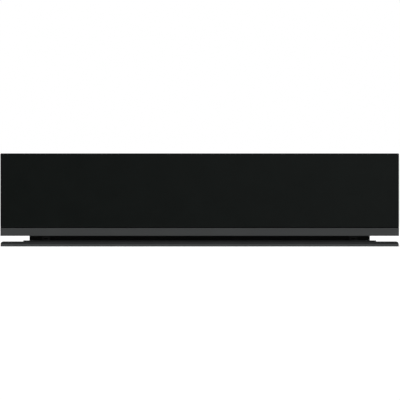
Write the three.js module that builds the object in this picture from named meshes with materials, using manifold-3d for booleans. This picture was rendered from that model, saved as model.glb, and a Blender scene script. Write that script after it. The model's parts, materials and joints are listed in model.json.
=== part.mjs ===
// Built-in warming drawer of the 60 cm class for a niche 14 cm high.
//
// A black glass front with a grey metal strip under it closes a sheet-steel housing. Under the
// front a stepped base trim stands on the cabinet shelf. The drawer behind the front has
// double-skinned walls and a heated glass plate as its floor, and runs on two ball-bearing
// runners of three members each. It has no handle: pressing the front works a latch at the rear.
//
// Frame: X to the right seen from the front, Y from the front to the rear, Z up, in millimetres.
// The origin lies on the shelf, midway between the sides and midway between front and rear.

import * as THREE from "three";
import { mergeVertices } from "three/addons/utils/BufferGeometryUtils.js";
import Module from "manifold-3d";

const wasm = await Module();
wasm.setup();

// ---------------------------------------------------------------------------------------------
// Driving dimensions
// ---------------------------------------------------------------------------------------------

// General
const frontWidth = 595; // width of the glass and of the strip under it
const frontTop = 139; // top edge of the glass above the shelf
const overallDepth = 548; // from the face of the glass to the collar of the cable gland
const seat = 0.3; // gap between faces that rest on each other
const housingSheet = 1.2; // steel sheet of the housing
const linerSheet = 1; // steel sheet of the drawer
const bendRadius = 1.6; // centre-line radius of the bends in sheet metal
const pressTravel = 3; // how far the closed front can be pressed in
const drawerTravel = 450; // full extension of the drawer

// Glass front
const glassThickness = 4;
const glassBevel = 0.35;
const glassCornerRadius = 1.5;
const seamHeight = 1.4; // dark joint between the glass and the strip
const gasketThickness = 0.9;
const stripBottom = 15.8;
const stripHeight = 11.6;
const stripWall = 2;
const stripEdge = 0.5;
const stripFlange = 8; // height of the flange that is bonded to the back of the glass
const stripRearWall = 7;
const carrierInset = 2; // the steel carrier stands back from the edge of the glass
const carrierDepth = 15.2;
const carrierFlange = 14;
const bulkheadClearance = 0.5; // between the base rail and the bulkhead that passes over it
const bulkheadCorner = 2;
const adjusterInset = 24.7; // centre of a front adjuster, from the bulkhead's edge
const adjusterWidth = 11.4;
const adjusterDepth = 4;
const adjusterSlotWidth = 6;
const adjusterSlotHeight = 1.5;
const sealWidth = 6;
const sealThickness = 1.4;

// Base trim and rail
const trimSetback = 2; // the trim's lip stands behind the face of the glass
const trimEndSetback = 0.35;
const trimWall = 1.6;
const trimLip = 3.7;
const trimLipDepth = 4;
const trimHeight = 7.5;
const trimCornerRadius = 3.6;
const trimTopDepth = 16;
const railInset = 34; // the rail starts this far in from each end of the front
const railNose = 6; // from the trim's lip to the front edge of the rail

// Drawer
const drawerTopGap = 6.8; // between the drawer's rim and the cover
const drawerLift = 3.3; // between the base pan's shoulders and the drawer's walls
const drawerRearGap = 10; // between the drawer and the latch body
const drawerWall = 25.5; // outside to inside face of a double-skinned wall
const innerFrontDepth = 40;
const backWallDepth = 12;
const ledgeWidth = 8; // width of the ledge under the plate's edges
const frameFlange = 10; // depth of the frame that forms the ledge
const plateThickness = 4;
const plateBevel = 0.3;
const plateTop = 38.3;
const plateCornerRadius = 6;
const plateSealWidth = 2.4;
const plateSealProud = 0.6;
const matThickness = 1.6;
const matMargin = 6;
const matCornerRadius = 12;
const panClearance = 1.5; // the floor pan's underside above the bulkhead's edge
const panInset = 11.5; // from the drawer's side to the side of its floor pan
const reflectorSheet = 0.8;
const reflectorRim = 4;
const spreaderThickness = 1.2;
const heaterMargin = 10; // between the drawer's inside and the heater's plates
const elementDiameter = 6.4;
const elementRuns = 6;
const elementPitch = 62;
const elementSideGap = 20;
const thermostatRadius = 8.5;
const thermostatHeight = 6;
const cutoutOffset = 51; // from the thermostat to the thermal cut-out
const cutoutLength = 22;
const cutoutWidth = 12;

// Controls in the rim of the inner front
const fasciaEndGap = 13; // between the fascia and the drawer's right wall
const fasciaLength = 112;
const fasciaWidth = 34;
const fasciaFlange = 1;
const fasciaBorder = 2.3; // width of the flange around the well's outer wall
const fasciaWall = 1.6;
const fasciaDepth = 12.3; // underside of the flange to the underside of the well
const knobOffset = 26; // centre of the knob, right of the fascia's centre
const knobRadius = 11.5;
const knobHeight = 12.4;
const knobFlutes = 18;
const knobFluteRadius = 1.3;
const shaftRadius = 3;
const shaftClearance = 0.3;
const shaftLength = 10;
const switchLength = 32;
const switchWidth = 26;
const switchHeight = 17;
const lensOffset = -34; // centre of the pilot light's lens, from the fascia's centre
const lensRadius = 3;
const lensHeight = 1.8;

// Housing
const housingInset = 19.5; // from each end of the front to the housing's side
const housingDrop = 3; // top of the cover below the top edge of the glass
const runnerRoom = 22.3; // between a side panel and the drawer's wall
const coverFlange = 12;
const coverFrontLip = 5;
const beadHeight = 1.5;
const panFloor = 2; // underside of the base pan above the shelf
const shoulderWidth = 28; // from the housing's side to the sunk middle of the base pan
const tongueInset = 10; // the tongue that runs forward into the trim is narrower than that
const ribPitch = 135; // pressed ribs of the base pan
const ribWidth = 18;
const ribInset = 48;
const shoulderTop = 17.2; // top of the base pan's shoulders
const sideFlange = 14.5;
const runnerWindow = 54; // opening in the side panel's front flange for the runner
const footWidth = 26; // two rubber feet run from front to rear under the base pan
const footInset = 42; // from the housing's front and rear to a foot's ends
const footOffset = 45; // centre of a foot, from the side of the sunk middle
const padWidth = 26;
const padInset = 97;
const padThickness = 1.8;
const padOffset = 46; // centre of a pad, from the housing's side
const beadPitch = 130; // pressed beads of the cover
const beadWidth = 22;
const beadFrontInset = 60;
const beadRearInset = 115;
const ventWidth = 5;
const ventLength = 18;
const ventPitch = 20;
const ventCount = 9;
const ventEndInset = 58; // first vent of the rear panel, from the housing's side
const ventDrop = 26; // middle of the upper row of vents below the panel's top
const ventRowPitch = 30;
const coverVentLength = 22;
const coverVentPitch = 40;
const coverVentCount = 10;
const coverVentInset = 40; // from the housing's rear
const sideVentPitch = 16;
const sideVentCount = 6;
const sideVentInset = 27; // last vent of a side panel, from the housing's rear
const bumperRadius = 3.6;
const bumperHeight = 1.4;
const bumperAboveShelf = 116;
const mountFlangeReach = 15.5; // how far the fixing flange reaches out from the side panel
const mountFlangeMargin = 15; // above the side panel's lower edge and below the cover's flange
const mountFlangeLeg = 24;
const mountHoleRadius = 2.3;
const mountHoleSpacing = 48;

// Runners: three nested members and two rows of balls between each pair
const runnerHeight = 75; // centre line above the shelf
const runnerSheet = 1.2;
const ballRadius = 2.5;
const ballClearance = 0.3;
const outerBallHeight = 18.5; // centre of the outer balls above the centre line
const ballStackAngle = -35; // degrees from an outer ball to the inner ball beside it
const curlEnd = 12; // degrees about an outer ball at which the outer member's edge stops
const cageSheet = 0.8;
const cageMargin = 5.5;
const ballsPerRow = 8;
const middleWebOffset = 3.4;
const innerWebOffset = 14;
const bracketSheet = 1.5;
const bracketDrop = 22;
const bracketStep = 11;

// Rear fittings
const glandCollarRadius = 11;
const glandCollarDepth = 7.4;
const glandNeckRadius = 7.5;
const glandBoreRadius = 4.2;
const glandNutDepth = 6;
const glandInset = 73; // centre of the gland, from the housing's right side
const glandAboveShelf = 42;
const terminalOffset = 65; // centre of the terminal block, left of the gland
const terminalLength = 46;
const terminalHeight = 24;
const terminalDepth = 22;
const terminalCoverWall = 1.6;
const latchWidth = 44;
const latchHeight = 26;
const latchDepth = 28.8;
const latchPlate = 3;
const plungerRadius = 4;
const plungerClearance = 0.3;
const plungerLength = 20;
const plungerStroke = 4;
const strikeWidth = 36;
const strikeHeight = 30;
const strikeThickness = 1.5;

// ---------------------------------------------------------------------------------------------
// Places worked out from the driving dimensions
// ---------------------------------------------------------------------------------------------

const frontFace = -overallDepth / 2;
const rearFace = overallDepth / 2;
const halfFront = frontWidth / 2;

const glassBack = frontFace + glassThickness;
const stripTop = stripBottom + stripHeight;
const glassBottom = stripTop + seamHeight;
const carrierFront = glassBack + seat;
const carrierBack = carrierFront + carrierDepth;
const stripBack = carrierBack - housingSheet - seat;
const bulkheadFront = carrierBack + seat;
const bulkheadBack = bulkheadFront + housingSheet;
const sealBack = bulkheadFront + sealThickness;
const housingFront = sealBack + pressTravel + seat;

const halfHousing = halfFront - housingInset;
const sideInside = halfHousing - housingSheet;
const housingTop = frontTop - housingDrop;
const coverUnderside = housingTop - housingSheet;
const sideTop = coverUnderside - seat;
const sideBottom = shoulderTop + seat;
const rearPanelBack = rearFace - glandCollarDepth - seat;
const rearPanelFront = rearPanelBack - housingSheet;
const housingBack = rearPanelFront - seat;
const housingMiddle = (housingFront + housingBack) / 2;
const housingHalfDepth = (housingBack - housingFront) / 2;
const halfCover = halfHousing + seat + housingSheet;
const sunkHalfWidth = halfHousing - shoulderWidth;
const latchFront = housingBack - latchDepth;

const trimFront = frontFace + trimSetback;
const trimBack = housingFront - 2 * seat;
const halfTrim = halfFront - trimEndSetback;
const halfRail = halfFront - railInset;
const railTop = trimHeight + seat + housingSheet;
const bulkheadBottom = railTop + bulkheadClearance;

const halfBulkhead = sideInside - runnerRoom; // the drawer is as wide as its bulkhead
const drawerTop = coverUnderside - drawerTopGap;
const drawerBottom = shoulderTop + drawerLift;
const drawerFront = bulkheadBack + seat;
const drawerBack = latchFront - drawerRearGap;
const halfInside = halfBulkhead - drawerWall; // inside half width of the drawer
const insideFront = drawerFront + innerFrontDepth;
const insideBack = drawerBack - backWallDepth;
const plateBottom = plateTop - plateThickness;
const ledgeTop = plateBottom - seat;
const heaterHalfWidth = halfInside - heaterMargin;
const heaterFront = insideFront + heaterMargin;
const heaterBack = insideBack - heaterMargin;
const spreaderBottom = ledgeTop - spreaderThickness;
const elementTop = spreaderBottom - seat;
const elementHeight = elementTop - elementDiameter / 2;
const reflectorTop = elementTop - elementDiameter - seat; // upper face of the reflector's floor
const reflectorBottom = reflectorTop - reflectorSheet;
const firstRun = (heaterFront + heaterBack - elementPitch * (elementRuns - 1)) / 2;
const besideRuns = firstRun + (Math.floor(elementRuns / 2) - 0.5) * elementPitch;
const panHalfWidth = halfBulkhead - panInset;
const panBottom = bulkheadBottom + panClearance;

const fasciaCentreX = halfInside - fasciaEndGap - fasciaLength / 2;
const fasciaCentreY = drawerFront + innerFrontDepth / 2;
const fasciaSeat = drawerTop + seat; // underside of the fascia's flange
const wellBottom = fasciaSeat - fasciaDepth; // underside of the well
const wellFloor = wellBottom + fasciaWall; // the face that carries the dial
const knobX = fasciaCentreX + knobOffset;
const runnerFront = housingFront + housingSheet + seat + 2 * ballRadius;
const runnerLength = drawerBack - runnerFront;
const runnerWall = sideInside - seat; // the face of the outer members against the side panels
const glandX = halfHousing - glandInset;
const terminalX = glandX - terminalOffset;
const strikeBack = drawerBack + seat + strikeThickness;
const plungerTip = strikeBack + pressTravel + seat;
const latchBoreRadius = plungerRadius + plungerClearance;
const ventSize = [ventWidth, ventLength];

// ---------------------------------------------------------------------------------------------
// Shapes and solids
// ---------------------------------------------------------------------------------------------

const X = new THREE.Vector3(1, 0, 0);
const Y = new THREE.Vector3(0, 1, 0);
const Z = new THREE.Vector3(0, 0, 1);
const CIRCLE_SIDES = 24;

/** A closed solid from a three.js geometry, with its shared vertices merged. */
function solidFrom(geometry) {
  const bare = geometry.clone();
  for (const name of Object.keys(bare.attributes)) {
    if (name !== "position") bare.deleteAttribute(name);
  }
  const merged = mergeVertices(bare, 1e-4);
  return new wasm.Manifold(
    new wasm.Mesh({
      numProp: 3,
      vertProperties: new Float32Array(merged.attributes.position.array),
      triVerts: new Uint32Array(merged.index.array),
    }),
  );
}

/** The solid as a BufferGeometry for a mesh. */
function geometryFrom(solid) {
  const mesh = solid.getMesh();
  const stride = mesh.numProp;
  const positions = new Float32Array(mesh.numVert * 3);
  for (let i = 0; i < mesh.numVert; i++) {
    positions.set(mesh.vertProperties.subarray(i * stride, i * stride + 3), i * 3);
  }
  const geometry = new THREE.BufferGeometry();
  geometry.setAttribute("position", new THREE.BufferAttribute(positions, 3));
  geometry.setIndex(new THREE.BufferAttribute(new Uint32Array(mesh.triVerts), 1));
  geometry.computeVertexNormals();
  return geometry;
}

/** A box between two corners. */
function block([x0, x1], [y0, y1], [z0, z1]) {
  const geometry = new THREE.BoxGeometry(x1 - x0, y1 - y0, z1 - z0);
  geometry.translate((x0 + x1) / 2, (y0 + y1) / 2, (z0 + z1) / 2);
  return solidFrom(geometry);
}

/** An outline given as [a, b] points; points that repeat the one before are left out. */
function outline(points) {
  const vectors = points.map(([a, b]) => new THREE.Vector2(a, b));
  return new THREE.Shape(
    vectors.filter((v, i) => v.distanceTo(vectors.at(i - 1)) > 1e-6),
  );
}

/** Points of an arc about a centre, in degrees. */
function arc([a, b], radius, fromDegrees, toDegrees, steps) {
  const points = [];
  for (let i = 0; i <= steps; i++) {
    const angle = THREE.MathUtils.degToRad(fromDegrees + ((toDegrees - fromDegrees) * i) / steps);
    points.push([a + radius * Math.cos(angle), b + radius * Math.sin(angle)]);
  }
  return points;
}

/** A rectangle with round corners, given by its half sizes and its middle. */
function roundedRectangle(halfA, halfB, radius, [a, b] = [0, 0], steps = 4) {
  const inA = halfA - radius;
  const inB = halfB - radius;
  return outline([
    ...arc([a + inA, b + inB], radius, 0, 90, steps),
    ...arc([a - inA, b + inB], radius, 90, 180, steps),
    ...arc([a - inA, b - inB], radius, 180, 270, steps),
    ...arc([a + inA, b - inB], radius, 270, 360, steps),
  ]);
}

/**
 * A shape drawn in two of the part's axes and extruded along the third, from one place to
 * another. Along X the shape is drawn in (y, z), along Y in (x, z) and along Z in (x, y).
 */
function extruded(shape, axis, from, to, bevel = 0) {
  const geometry = new THREE.ExtrudeGeometry(shape, {
    depth: to - from - 2 * bevel,
    bevelEnabled: bevel > 0,
    bevelThickness: bevel,
    bevelSize: bevel,
    bevelOffset: -bevel,
    bevelSegments: 1,
  });
  geometry.translate(0, 0, bevel);
  const turn = new THREE.Matrix4();
  if (axis === "x") turn.makeBasis(Y, Z, X).setPosition(from, 0, 0);
  if (axis === "y") turn.makeBasis(X, Z, Y.clone().negate()).setPosition(0, to, 0);
  if (axis === "z") turn.setPosition(0, 0, from);
  geometry.applyMatrix4(turn);
  return solidFrom(geometry);
}

/** A round bar along an axis; the centre is given in the two other axes, in X, Y, Z order. */
function rod(radius, axis, centre, from, to, sides = CIRCLE_SIDES) {
  return extruded(outline(arc(centre, radius, 0, 360, sides)), axis, from, to);
}

/** A polyline whose inner corners are rounded to a bend radius. */
function bent(points, radius, steps = 2) {
  const path = [points[0]];
  for (let i = 1; i < points.length - 1; i++) {
    const corner = new THREE.Vector2(...points[i]);
    const back = new THREE.Vector2(...points[i - 1]).sub(corner).normalize();
    const ahead = new THREE.Vector2(...points[i + 1]).sub(corner).normalize();
    const half = Math.acos(THREE.MathUtils.clamp(back.dot(ahead), -1, 1)) / 2;
    const start = corner.clone().addScaledVector(back, radius / Math.tan(half));
    const end = corner.clone().addScaledVector(ahead, radius / Math.tan(half));
    const curve = new THREE.QuadraticBezierCurve(start, corner, end);
    curve.getPoints(steps).forEach((p) => path.push([p.x, p.y]));
  }
  path.push(points[points.length - 1]);
  return path;
}

/** The outline of a sheet of the given thickness whose middle follows a polyline. */
function sheetOutline(path, thickness) {
  const points = path.map(([a, b]) => new THREE.Vector2(a, b));
  const normals = points.slice(1).map((p, i) => {
    const d = p.clone().sub(points[i]).normalize();
    return new THREE.Vector2(-d.y, d.x);
  });
  const left = [];
  const right = [];
  points.forEach((p, i) => {
    const before = normals[Math.max(i - 1, 0)];
    const after = normals[Math.min(i, normals.length - 1)];
    const mitre = before.clone().add(after);
    mitre.multiplyScalar(thickness / (1 + before.dot(after)) / 2);
    left.push([p.x + mitre.x, p.y + mitre.y]);
    right.unshift([p.x - mitre.x, p.y - mitre.y]);
  });
  return outline([...left, ...right]);
}

/** The path and its mirror image about b = 0, as one polyline from bottom to top. */
function mirroredPath(upper) {
  const lower = upper.map(([a, b]) => [a, -b]).reverse();
  return [...lower, ...upper.filter(([, b]) => b > 0)];
}

/** Several solids joined into one. */
function joined(...solids) {
  return solids.flat().reduce((sum, solid) => sum.add(solid));
}

/** A solid with several others cut out of it. */
function cut(solid, ...tools) {
  return tools.flat().reduce((rest, tool) => rest.subtract(tool), solid);
}

/** A long bead with round ends, pressed up out of a flat sheet that lies between two heights. */
function withBead(sheetSolid, halfWidth, halfLength, centre, [under, top], height) {
  const wall = top - under;
  const shape = (inset) =>
    roundedRectangle(halfWidth - inset, halfLength - inset, halfWidth - inset, centre, 3);
  return cut(
    joined(sheetSolid, extruded(shape(0), "z", under + wall / 4, top + height, height / 2)),
    extruded(shape(wall), "z", under - 1, top + height - wall, height / 2),
  );
}

/** A row of slots with round ends, for cutting through a sheet across an axis. */
function slotRow(axis, [from, to], [start, pitch, count], middle, [width, length]) {
  const slots = [];
  for (let i = 0; i < count; i++) {
    const centre = [start + i * pitch, middle];
    const shape = roundedRectangle(width / 2, length / 2, width / 2, centre, 2);
    slots.push(extruded(shape, axis, from, to));
  }
  return slots;
}

// ---------------------------------------------------------------------------------------------
// Materials
// ---------------------------------------------------------------------------------------------

function finish(color, roughness, metalness) {
  return new THREE.MeshStandardMaterial({ color, roughness, metalness });
}

const blackGlass = finish(0x151716, 0.08, 0);
const graphiteMetal = finish(0x404241, 0.45, 0.6);
const darkTrim = finish(0x282a2a, 0.5, 0.5);
const blackSheet = finish(0x101111, 0.6, 0.3);
const blackPlastic = finish(0x141515, 0.55, 0);
const rubber = finish(0x0e0e0e, 0.85, 0);
const zincSteel = finish(0xa6abad, 0.42, 0.9);
const stainless = finish(0xb9bbbb, 0.32, 1);
const runnerSteel = finish(0xbfc3c5, 0.28, 1);
const ballSteel = finish(0xd6d8da, 0.12, 1);
const aluminium = finish(0xc4c7c8, 0.35, 1);
const elementSheath = finish(0x5d564f, 0.5, 0.9);
const fibreBoard = finish(0xd9d2c2, 0.95, 0);
const whitePlastic = finish(0xd8d8d4, 0.5, 0);
const amberLens = finish(0xd9741f, 0.2, 0);

// ---------------------------------------------------------------------------------------------
// Front: glass, strip, carrier, bulkhead
// ---------------------------------------------------------------------------------------------

function frontGlass() {
  const height = frontTop - glassBottom;
  const centreZ = glassBottom + height / 2;
  const face = roundedRectangle(halfFront, height / 2, glassCornerRadius, [0, centreZ]);
  return extruded(face, "y", frontFace, glassBack, glassBevel);
}

function seamGasket() {
  const middle = stripTop + seamHeight / 2;
  const half = gasketThickness / 2;
  return block(
    [1 - halfFront, halfFront - 1],
    [frontFace + glassBevel + half, glassBack - seat / 2],
    [middle - half, middle + half],
  );
}

/** An extruded channel with a flange on top that is bonded to the back of the glass. */
function frontStrip() {
  const flangeFront = glassBack + seat;
  const flangeBack = flangeFront + stripWall * 0.75;
  const under = stripBottom + stripWall;
  return extruded(
    outline([
      [frontFace + stripEdge, stripBottom],
      [frontFace, stripBottom + stripEdge],
      [frontFace, stripTop - stripEdge],
      [frontFace + stripEdge, stripTop],
      [flangeFront, stripTop],
      [flangeFront, stripTop + stripFlange],
      [flangeBack, stripTop + stripFlange],
      [flangeBack, stripTop - stripWall],
      [frontFace + stripWall, stripTop - stripWall],
      [frontFace + stripWall, under],
      [stripBack - stripWall, under],
      [stripBack - stripWall, stripBottom + stripRearWall],
      [stripBack, stripBottom + stripRearWall],
      [stripBack, stripBottom + stripEdge],
      [stripBack - stripEdge, stripBottom],
    ]),
    "x",
    -halfFront,
    halfFront,
  );
}

/** A steel pan that opens towards the glass, with flanges for the bond and a skirt behind the strip. */
function frontCarrier() {
  const half = halfFront - carrierInset;
  const bottom = stripTop + stripFlange + seat;
  const top = frontTop - carrierInset;
  const t = housingSheet;
  const skirtBottom = stripBottom + stripEdge;
  const pan = block([-half, half], [carrierFront, carrierBack], [skirtBottom, top]);
  const besideStrip = block(
    [-half - 1, half + 1],
    [carrierFront - 1, carrierBack - t],
    [skirtBottom - 1, bottom],
  );
  const hollow = block(
    [t - half, half - t],
    [carrierFront + t, carrierBack - t],
    [bottom + t, top - t],
  );
  const window = block(
    [carrierFlange - half, half - carrierFlange],
    [carrierFront - t, carrierFront + 2 * t],
    [bottom + carrierFlange, top - carrierFlange],
  );
  return cut(pan, besideStrip, hollow, window);
}

function bulkhead() {
  const height = drawerTop - bulkheadBottom;
  const centreZ = bulkheadBottom + height / 2;
  const face = roundedRectangle(halfBulkhead, height / 2, bulkheadCorner, [0, centreZ], 2);
  return extruded(face, "y", bulkheadFront, bulkheadBack);
}

/** A screw-slotted block on the bulkhead that aligns the front; it shows under the strip. */
function frontAdjuster(side) {
  const centre = side * (halfBulkhead - adjusterInset);
  const back = bulkheadFront - seat;
  const front = back - adjusterDepth;
  const slotMiddle = bulkheadBottom + adjusterSlotHeight * 1.3;
  const body = block(
    [centre - adjusterWidth / 2, centre + adjusterWidth / 2],
    [front, back],
    [bulkheadBottom, stripBottom - seat],
  );
  const slot = block(
    [centre - adjusterSlotWidth / 2, centre + adjusterSlotWidth / 2],
    [front - 1, front + adjusterDepth / 2],
    [slotMiddle - adjusterSlotHeight / 2, slotMiddle + adjusterSlotHeight / 2],
  );
  return cut(body, slot);
}

/** A three-sided seal on the carrier that meets the housing's front flanges. */
function frontSeal() {
  const half = sideInside - seat;
  const top = housingTop - seat;
  const bottom = shoulderTop + sideFlange;
  const innerTop = top - sealWidth;
  return extruded(
    outline([
      [-half, bottom],
      [sealWidth - half, bottom],
      [sealWidth - half, innerTop],
      [half - sealWidth, innerTop],
      [half - sealWidth, bottom],
      [half, bottom],
      [half, top],
      [-half, top],
    ]),
    "y",
    bulkheadFront,
    sealBack,
  );
}

// ---------------------------------------------------------------------------------------------
// Base trim and rail
// ---------------------------------------------------------------------------------------------

/** A channel that opens to the rear and grips the tongue of the base pan, with round ends. */
function baseTrim() {
  const back = trimBack;
  const topBack = trimFront + trimTopDepth;
  const riser = trimFront + trimLipDepth;
  const slope = 1;
  const profile = extruded(
    outline([
      [trimFront, slope / 2],
      [trimFront + slope / 2, 0],
      [back, 0],
      [back, trimWall],
      [trimFront + trimWall, trimWall],
      [trimFront + trimWall, trimLip - trimWall],
      [riser + trimWall, trimLip - trimWall],
      [riser + trimWall + slope, trimHeight - trimWall],
      [topBack, trimHeight - trimWall],
      [topBack, trimHeight],
      [riser + slope, trimHeight],
      [riser, trimLip],
      [trimFront, trimLip],
    ]),
    "x",
    -halfTrim,
    halfTrim,
  );
  const r = trimCornerRadius;
  const ends = extruded(
    outline([
      [-halfTrim, 0],
      [halfTrim, 0],
      ...arc([halfTrim - r, trimHeight - r], r, 0, 90, 4),
      ...arc([r - halfTrim, trimHeight - r], r, 90, 180, 4),
    ]),
    "y",
    trimFront - 1,
    back + 1,
  );
  return profile.intersect(ends);
}

/** A folded angle over the trim that ties it to the base pan. */
function baseRail() {
  const middle = railTop - housingSheet / 2;
  const leg = housingFront - seat - housingSheet / 2;
  const path = [
    [trimFront + railNose, middle],
    [leg, middle],
    [leg, panFloor + housingSheet + seat],
  ];
  return extruded(sheetOutline(path, housingSheet), "x", -halfRail, halfRail);
}

// ---------------------------------------------------------------------------------------------
// Drawer: walls, pan and heated floor
// ---------------------------------------------------------------------------------------------

/** A double-skinned wall's section: up the outer skin, across the rim and down the inner skin. */
function wallSection(outer, inner, bottomFlange) {
  const inwards = Math.sign(inner - outer);
  const outSkin = outer + (inwards * linerSheet) / 2;
  const inSkin = inner - (inwards * linerSheet) / 2;
  const points = [
    [outSkin, drawerTop - linerSheet / 2],
    [inSkin, drawerTop - linerSheet / 2],
    [inSkin, ledgeTop - frameFlange],
  ];
  if (bottomFlange > 0) {
    points.unshift([outSkin, drawerBottom + linerSheet / 2]);
    points.unshift([outSkin + inwards * bottomFlange, drawerBottom + linerSheet / 2]);
  } else {
    points.unshift([outSkin, drawerBottom]);
  }
  return sheetOutline(bent(points, bendRadius), linerSheet);
}

function drawerSide(side) {
  const flange = halfBulkhead - panHalfWidth;
  const section = wallSection(side * halfBulkhead, side * halfInside, flange);
  return extruded(section, "y", drawerFront, drawerBack);
}

function drawerRear() {
  const half = halfInside - seat;
  return extruded(wallSection(drawerBack, insideBack, 0), "x", -half, half);
}

/** The inner front, whose rim has the opening for the control fascia. */
function innerFront() {
  const half = halfInside - seat;
  const openingX = fasciaLength / 2 - fasciaBorder + seat;
  const openingY = fasciaWidth / 2 - fasciaBorder + seat;
  return cut(
    extruded(wallSection(drawerFront, insideFront, 0), "x", -half, half),
    block(
      [fasciaCentreX - openingX, fasciaCentreX + openingX],
      [fasciaCentreY - openingY, fasciaCentreY + openingY],
      [drawerTop - 2 * linerSheet, drawerTop + linerSheet],
    ),
  );
}

/** The angle frame that is welded to the inner skins and carries the glass plate. */
function plateFrame() {
  const x = halfInside - seat;
  const [y0, y1] = [insideFront + seat, insideBack - seat];
  const bottom = ledgeTop - frameFlange;
  const t = linerSheet;
  const w = ledgeWidth;
  return cut(
    block([-x, x], [y0, y1], [bottom, ledgeTop]),
    block([t - x, x - t], [y0 + t, y1 - t], [bottom - 1, ledgeTop - t]),
    block([w - x, x - w], [y0 + w, y1 - w], [ledgeTop - 2 * t, ledgeTop + t]),
  );
}

/** The sheet-steel pan that closes the drawer underneath, with a flange along each side. */
function floorPan() {
  const t = linerSheet;
  const top = drawerBottom - seat;
  const flange = halfBulkhead - t;
  const section = outline([
    [-flange, top],
    [-flange, top - t],
    [-panHalfWidth, top - t],
    [-panHalfWidth, panBottom],
    [panHalfWidth, panBottom],
    [panHalfWidth, top - t],
    [flange, top - t],
    [flange, top],
  ]);
  return cut(
    extruded(section, "y", drawerFront, drawerBack),
    block(
      [t - panHalfWidth, panHalfWidth - t],
      [drawerFront + t, drawerBack - t],
      [panBottom + t, top + t],
    ),
  );
}

function insulationBoard() {
  return block(
    [-heaterHalfWidth, heaterHalfWidth],
    [heaterFront, heaterBack],
    [panBottom + linerSheet + seat, reflectorBottom - seat],
  );
}

function heatReflector() {
  const t = reflectorSheet;
  const pan = block(
    [-heaterHalfWidth, heaterHalfWidth],
    [heaterFront, heaterBack],
    [reflectorBottom, reflectorTop + reflectorRim],
  );
  const hollow = block(
    [t - heaterHalfWidth, heaterHalfWidth - t],
    [heaterFront + t, heaterBack - t],
    [reflectorTop, reflectorTop + reflectorRim + t],
  );
  return cut(pan, hollow);
}

/** A curve through chosen stations, whose tangent at a station halves the bend there. */
class Route extends THREE.Curve {
  constructor(stations) {
    super();
    this.stations = stations;
  }

  getPoint(t, target = new THREE.Vector3()) {
    const place = t * (this.stations.length - 1);
    const i = Math.min(Math.floor(place), this.stations.length - 2);
    return target.lerpVectors(this.stations[i], this.stations[i + 1], place - i);
  }

  getPointAt(t, target) {
    return this.getPoint(t, target);
  }

  getTangentAt(t, target = new THREE.Vector3()) {
    const last = this.stations.length - 1;
    const i = Math.round(t * last);
    const here = this.stations[i];
    const before = this.stations[Math.max(i - 1, 0)];
    const after = this.stations[Math.min(i + 1, last)];
    target.copy(here).sub(before).normalize();
    return target.add(after.clone().sub(here).normalize()).normalize();
  }
}

/** A tubular element bent to and fro between the reflector and the spreader. */
function heatingElement() {
  const reach = heaterHalfWidth - elementSideGap - elementPitch / 2;
  const stations = [new THREE.Vector3(-heaterHalfWidth + elementSideGap, firstRun, elementHeight)];
  for (let run = 0; run < elementRuns; run++) {
    const towards = run % 2 === 0 ? 1 : -1;
    const y = firstRun + run * elementPitch;
    if (run === elementRuns - 1) {
      const end = towards * (heaterHalfWidth - elementSideGap);
      stations.push(new THREE.Vector3(end, y, elementHeight));
    } else {
      arc([towards * reach, y + elementPitch / 2], elementPitch / 2, -90, 90, 8).forEach(([x, v]) => {
        const mirrored = towards > 0 ? x : -2 * reach - x;
        stations.push(new THREE.Vector3(mirrored, v, elementHeight));
      });
    }
  }
  const section = new THREE.Shape();
  section.absarc(0, 0, elementDiameter / 2, 0, 2 * Math.PI);
  const geometry = new THREE.ExtrudeGeometry(section, {
    extrudePath: new Route(stations),
    steps: stations.length - 1,
    curveSegments: 5,
    bevelEnabled: false,
  });
  return solidFrom(geometry);
}

function heatSpreader() {
  const halfY = (heaterBack - heaterFront) / 2;
  const centreY = (heaterBack + heaterFront) / 2;
  const face = roundedRectangle(heaterHalfWidth, halfY, plateCornerRadius, [0, centreY]);
  return extruded(face, "z", spreaderBottom, spreaderBottom + spreaderThickness);
}

/** A snap-disc thermostat with a mounting flange, held up against the spreader. */
function thermostat() {
  const r = thermostatRadius;
  const flange = 1.2;
  const profile = outline([
    [0, 0],
    [r * 0.8, 0],
    [r * 0.8, thermostatHeight - flange],
    [r, thermostatHeight - flange],
    [r, thermostatHeight],
    [0, thermostatHeight],
  ]);
  const geometry = new THREE.LatheGeometry(profile.getPoints(), CIRCLE_SIDES);
  geometry.rotateX(Math.PI / 2);
  geometry.translate(0, besideRuns, elementTop - thermostatHeight);
  return solidFrom(geometry);
}

/** The over-temperature cut-out: a small body with a fixing ear at each end. */
function thermalCutout() {
  const x = cutoutOffset;
  const ear = 5;
  const body = block(
    [x - cutoutLength / 2, x + cutoutLength / 2],
    [besideRuns - cutoutWidth / 2, besideRuns + cutoutWidth / 2],
    [elementTop - thermostatHeight, elementTop],
  );
  const ears = block(
    [x - cutoutLength / 2 - ear, x + cutoutLength / 2 + ear],
    [besideRuns - cutoutWidth / 4, besideRuns + cutoutWidth / 4],
    [elementTop - 1, elementTop],
  );
  return joined(body, ears);
}

const plateHalfX = halfInside - plateSealWidth - 2 * seat;
const plateHalfY = (insideBack - insideFront) / 2 - plateSealWidth - 2 * seat;
const plateCentre = [0, (insideBack + insideFront) / 2];

function hotPlate() {
  const face = roundedRectangle(plateHalfX, plateHalfY, plateCornerRadius, plateCentre);
  return extruded(face, "z", plateBottom, plateTop, plateBevel);
}

/** The silicone frame between the glass plate and the drawer's walls. */
function plateSeal() {
  const outer = roundedRectangle(
    plateHalfX + seat + plateSealWidth,
    plateHalfY + seat + plateSealWidth,
    linerSheet,
    plateCentre,
  );
  const inner = roundedRectangle(
    plateHalfX + seat,
    plateHalfY + seat,
    plateCornerRadius + seat,
    plateCentre,
  );
  return cut(
    extruded(outer, "z", plateBottom, plateTop + plateSealProud),
    extruded(inner, "z", plateBottom - 1, plateTop + plateSealProud + 1),
  );
}

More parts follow.
